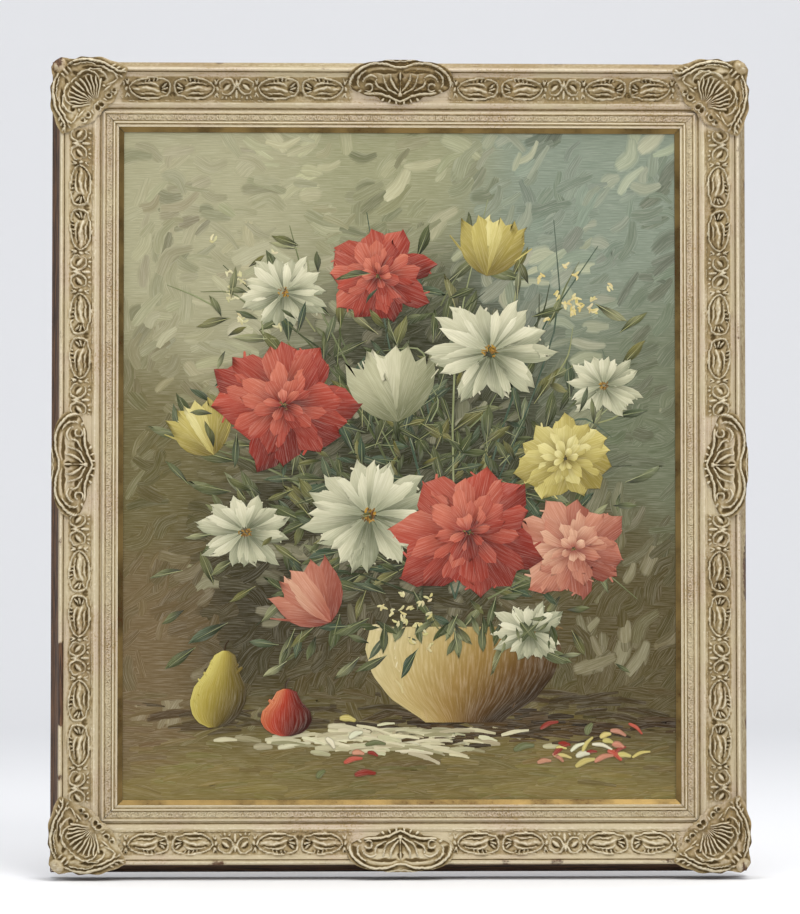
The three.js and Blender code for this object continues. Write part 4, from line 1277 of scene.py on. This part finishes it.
def paintPicture():
    paintGround()
    paintShadow()
    paintBowl()
    paintFoliage(460)
    # stems and grasses that reach out of the bunch
    for points, width, green in [
            ([(0.60, 0.70), (0.50, 0.40), (0.44, 0.12)], 2.0, 4),
            ([(0.60, 0.70), (0.72, 0.36), (0.86, 0.17)], 2.0, 4),
            ([(0.58, 0.68), (0.40, 0.38), (0.18, 0.20)], 2.2, 1),
            ([(0.56, 0.68), (0.30, 0.52), (0.10, 0.46)], 2.2, 2),
            ([(0.62, 0.68), (0.80, 0.52), (0.92, 0.50)], 2.0, 0),
            ([(0.60, 0.66), (0.60, 0.34), (0.66, 0.10)], 1.8, 3),
            ([(0.55, 0.70), (0.38, 0.66), (0.24, 0.74)], 2.2, 0),
            ([(0.66, 0.70), (0.82, 0.64), (0.93, 0.70)], 2.0, 2),
            ([(0.50, 0.50), (0.34, 0.24), (0.30, 0.14)], 1.6, 2),
            ([(0.64, 0.60), (0.78, 0.30), (0.78, 0.13)], 1.6, 4)]:
        stem(points, width, greens[green])
    for i in range(46):
        right, down = 0.5 + chance.normal(0, 0.2), 0.36 + chance.normal(0, 0.1)
        out = math.degrees(math.atan2(0.66 - down, right - 0.56)) + chance.normal(0, 22)
        start = spot(np.clip(right, 0.16, 0.86), np.clip(down, 0.26, 0.8))
        easel.stroke([start, start + turned(20, out), start + turned(44, out + chance.normal(0, 16))], 1.5,
                     greens[chance.integers(0, 5)], layers.next(), 0.07, (0.9, 0.3))
    spray(0.22, 0.24, 0.035, hue(206, 200, 160), 20)
    spray(0.83, 0.25, 0.03, hue(214, 196, 128), 18)
    tulip(0.145, 0.45, 30, lemon, 24)
    tulip(0.665, 0.175, 32, lemon, -8)
    daisy(0.29, 0.24, 34, 13)
    daisy(0.87, 0.38, 30, 12)
    poppy(0.46, 0.215, 42, coral)
    daisy(0.22, 0.60, 36, 13, 0.74)
    paintFoliage(120, 0.2, 0.15, (14, 30))
    poppy(0.815, 0.625, 42, rosePink)
    tulip(0.485, 0.385, 40, ivory, 10)
    poppy(0.29, 0.41, 56, coral)
    daisy(0.665, 0.33, 48, 14)
    poppy(0.80, 0.49, 38, lemon)
    daisy(0.445, 0.575, 52, 15)
    tulip(0.345, 0.70, 34, rosePink, 36)
    poppy(0.625, 0.60, 56, coral)
    daisy(0.735, 0.75, 30, 12, 0.66)
    spray(0.52, 0.73, 0.022, hue(206, 196, 142), 16)
    for i in range(30):
        # leaves that hang over the bowl's rim
        right = bowlShape["right"] + chance.uniform(-0.17, 0.17)
        root, long = spot(right, 0.735 + chance.normal(0, 0.008)), chance.uniform(12, 26)
        leaf(root, long, -90 + chance.normal(0, 34), greens[chance.integers(1, 4)], greens[0])
    paintFruit(0.175, 0.835, 34, 25, pearSkin, 5)
    paintFruit(0.295, 0.87, 21, 23, appleSkin, 0)
    for i in range(34):
        # fallen petals on the table
        right = chance.choice([0.42, 0.80, 0.88]) + chance.normal(0, 0.05)
        down = 0.925 + chance.normal(0, 0.014)
        colour = [coral[2], coral[1], ivory[3], lemon[2], greens[2], rosePink[2]][chance.integers(0, 6)]
        long, wide = chance.uniform(8, 18), chance.uniform(3.5, 7)
        dab(spot(right, down), long, wide, chance.normal(0, 24), colour, 0.1, 0.05,
            under=blend(colour, hue(92, 82, 50), 0.6))


cloth = makeCanvas()
paintPicture()
film = easel.finish()
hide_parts("canvas")
for piece in (cloth, film):
    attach(piece, "root")
print("picture painted")


looks = {"slip": gilding, "bar": rawWood, "brad": steel, "screw": steel}

for name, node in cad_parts.items():
    node.data.materials.clear()
    node.data.materials.append(looks.get(name.split("_")[0], agedPaint))

# lengths in metres, from the hanging point
studio = {
    "floor": (size["middle"] - size["halfHeight"] - 5.0) / 1000,
    "bendStart": 3.2,
    "bend": 1.2,
}


def makeStudio():
    floor, radius = studio["floor"], studio["bend"]
    turns = np.linspace(0, math.pi / 2, 16)
    start = studio["bendStart"]
    bend = [(start + radius * math.sin(t), floor + radius - radius * math.cos(t)) for t in turns]
    line = [(-5.0, floor), (-1.5, floor), (0.0, floor), (1.8, floor)] + bend + [(4.4, floor + 4.5)]
    points = np.array([(x, y, z) for y, z in line for x in (-6.0, 6.0)])
    faces = [(2 * i, 2 * i + 1, 2 * i + 3, 2 * i + 2) for i in range(len(line) - 1)]
    look = Recipe("studio_paper")
    fibre = look.noise(look.place, 40.0, 2.0)
    colour = look.mix(fibre * 0.04, hue(244, 244, 245), hue(228, 228, 230))
    paper = look.finish(colour, 0.9)
    makePiece("studio_paper", points, faces, paper, closed=False)


makeStudio()

lights = {
    # place in metres, size in metres, watts, colour, what it is aimed at
    "key": ((0.7, -2.2, 1.7), 1.0, 34, (1.0, 0.985, 0.955), (0, 0, -0.33)),
    "fill": ((-2.2, -2.6, 0.1), 2.2, 6, (0.95, 0.975, 1.0), (0, 0, -0.33)),
    "top": ((0.0, -0.5, 1.9), 1.5, 22, (1.0, 1.0, 1.0), (0, 0, -0.33)),
    "back": ((0.0, 1.2, 2.2), 2.0, 7, (1.0, 1.0, 1.0), (0, 3.0, -0.2)),
    "floor": ((0.0, -1.6, 0.9), 1.6, 9, (1.0, 1.0, 1.0), (0, -0.5, -0.7)),
}


def aim(thing, target):
    way = Vector(target) - Vector(thing.location)
    thing.rotation_euler = way.to_track_quat("-Z", "Y").to_euler()


for name, (place, wide, watts, colour, target) in lights.items():
    lamp = bpy.data.lights.new(name, "AREA")
    lamp.size, lamp.energy, lamp.color = wide, watts, colour
    thing = bpy.data.objects.new(name + "_light", lamp)
    thing.location = place
    bpy.context.scene.collection.objects.link(thing)
    aim(thing, target)

world = bpy.data.worlds.new("studio_air")
world.use_nodes = True
world.node_tree.nodes["Background"].inputs["Color"].default_value = (*hue(236, 238, 242), 1)
world.node_tree.nodes["Background"].inputs["Strength"].default_value = 0.78
bpy.context.scene.world = world

view = {
    "distance": 3.2, "rise": -2.0, "turn": -1.6, "lens": 141.9,
    "target": (-0.0001, -0.03, -0.3274),
}


def makeCamera():
    camera = bpy.data.objects.new("camera", bpy.data.cameras.new("camera"))
    bpy.context.scene.collection.objects.link(camera)
    rise, turn = math.radians(view["rise"]), math.radians(view["turn"])
    target = Vector(view["target"])
    back = Vector((math.sin(turn) * math.cos(rise), -math.cos(turn) * math.cos(rise), math.sin(rise)))
    camera.location = target + back * view["distance"]
    camera.rotation_euler = (-back).to_track_quat("-Z", "Y").to_euler()
    camera.data.lens = view["lens"]
    camera.data.sensor_width = 36
    bpy.context.scene.camera = camera


makeCamera()
bpy.context.scene.view_settings.view_transform = "Standard"
print("studio set")
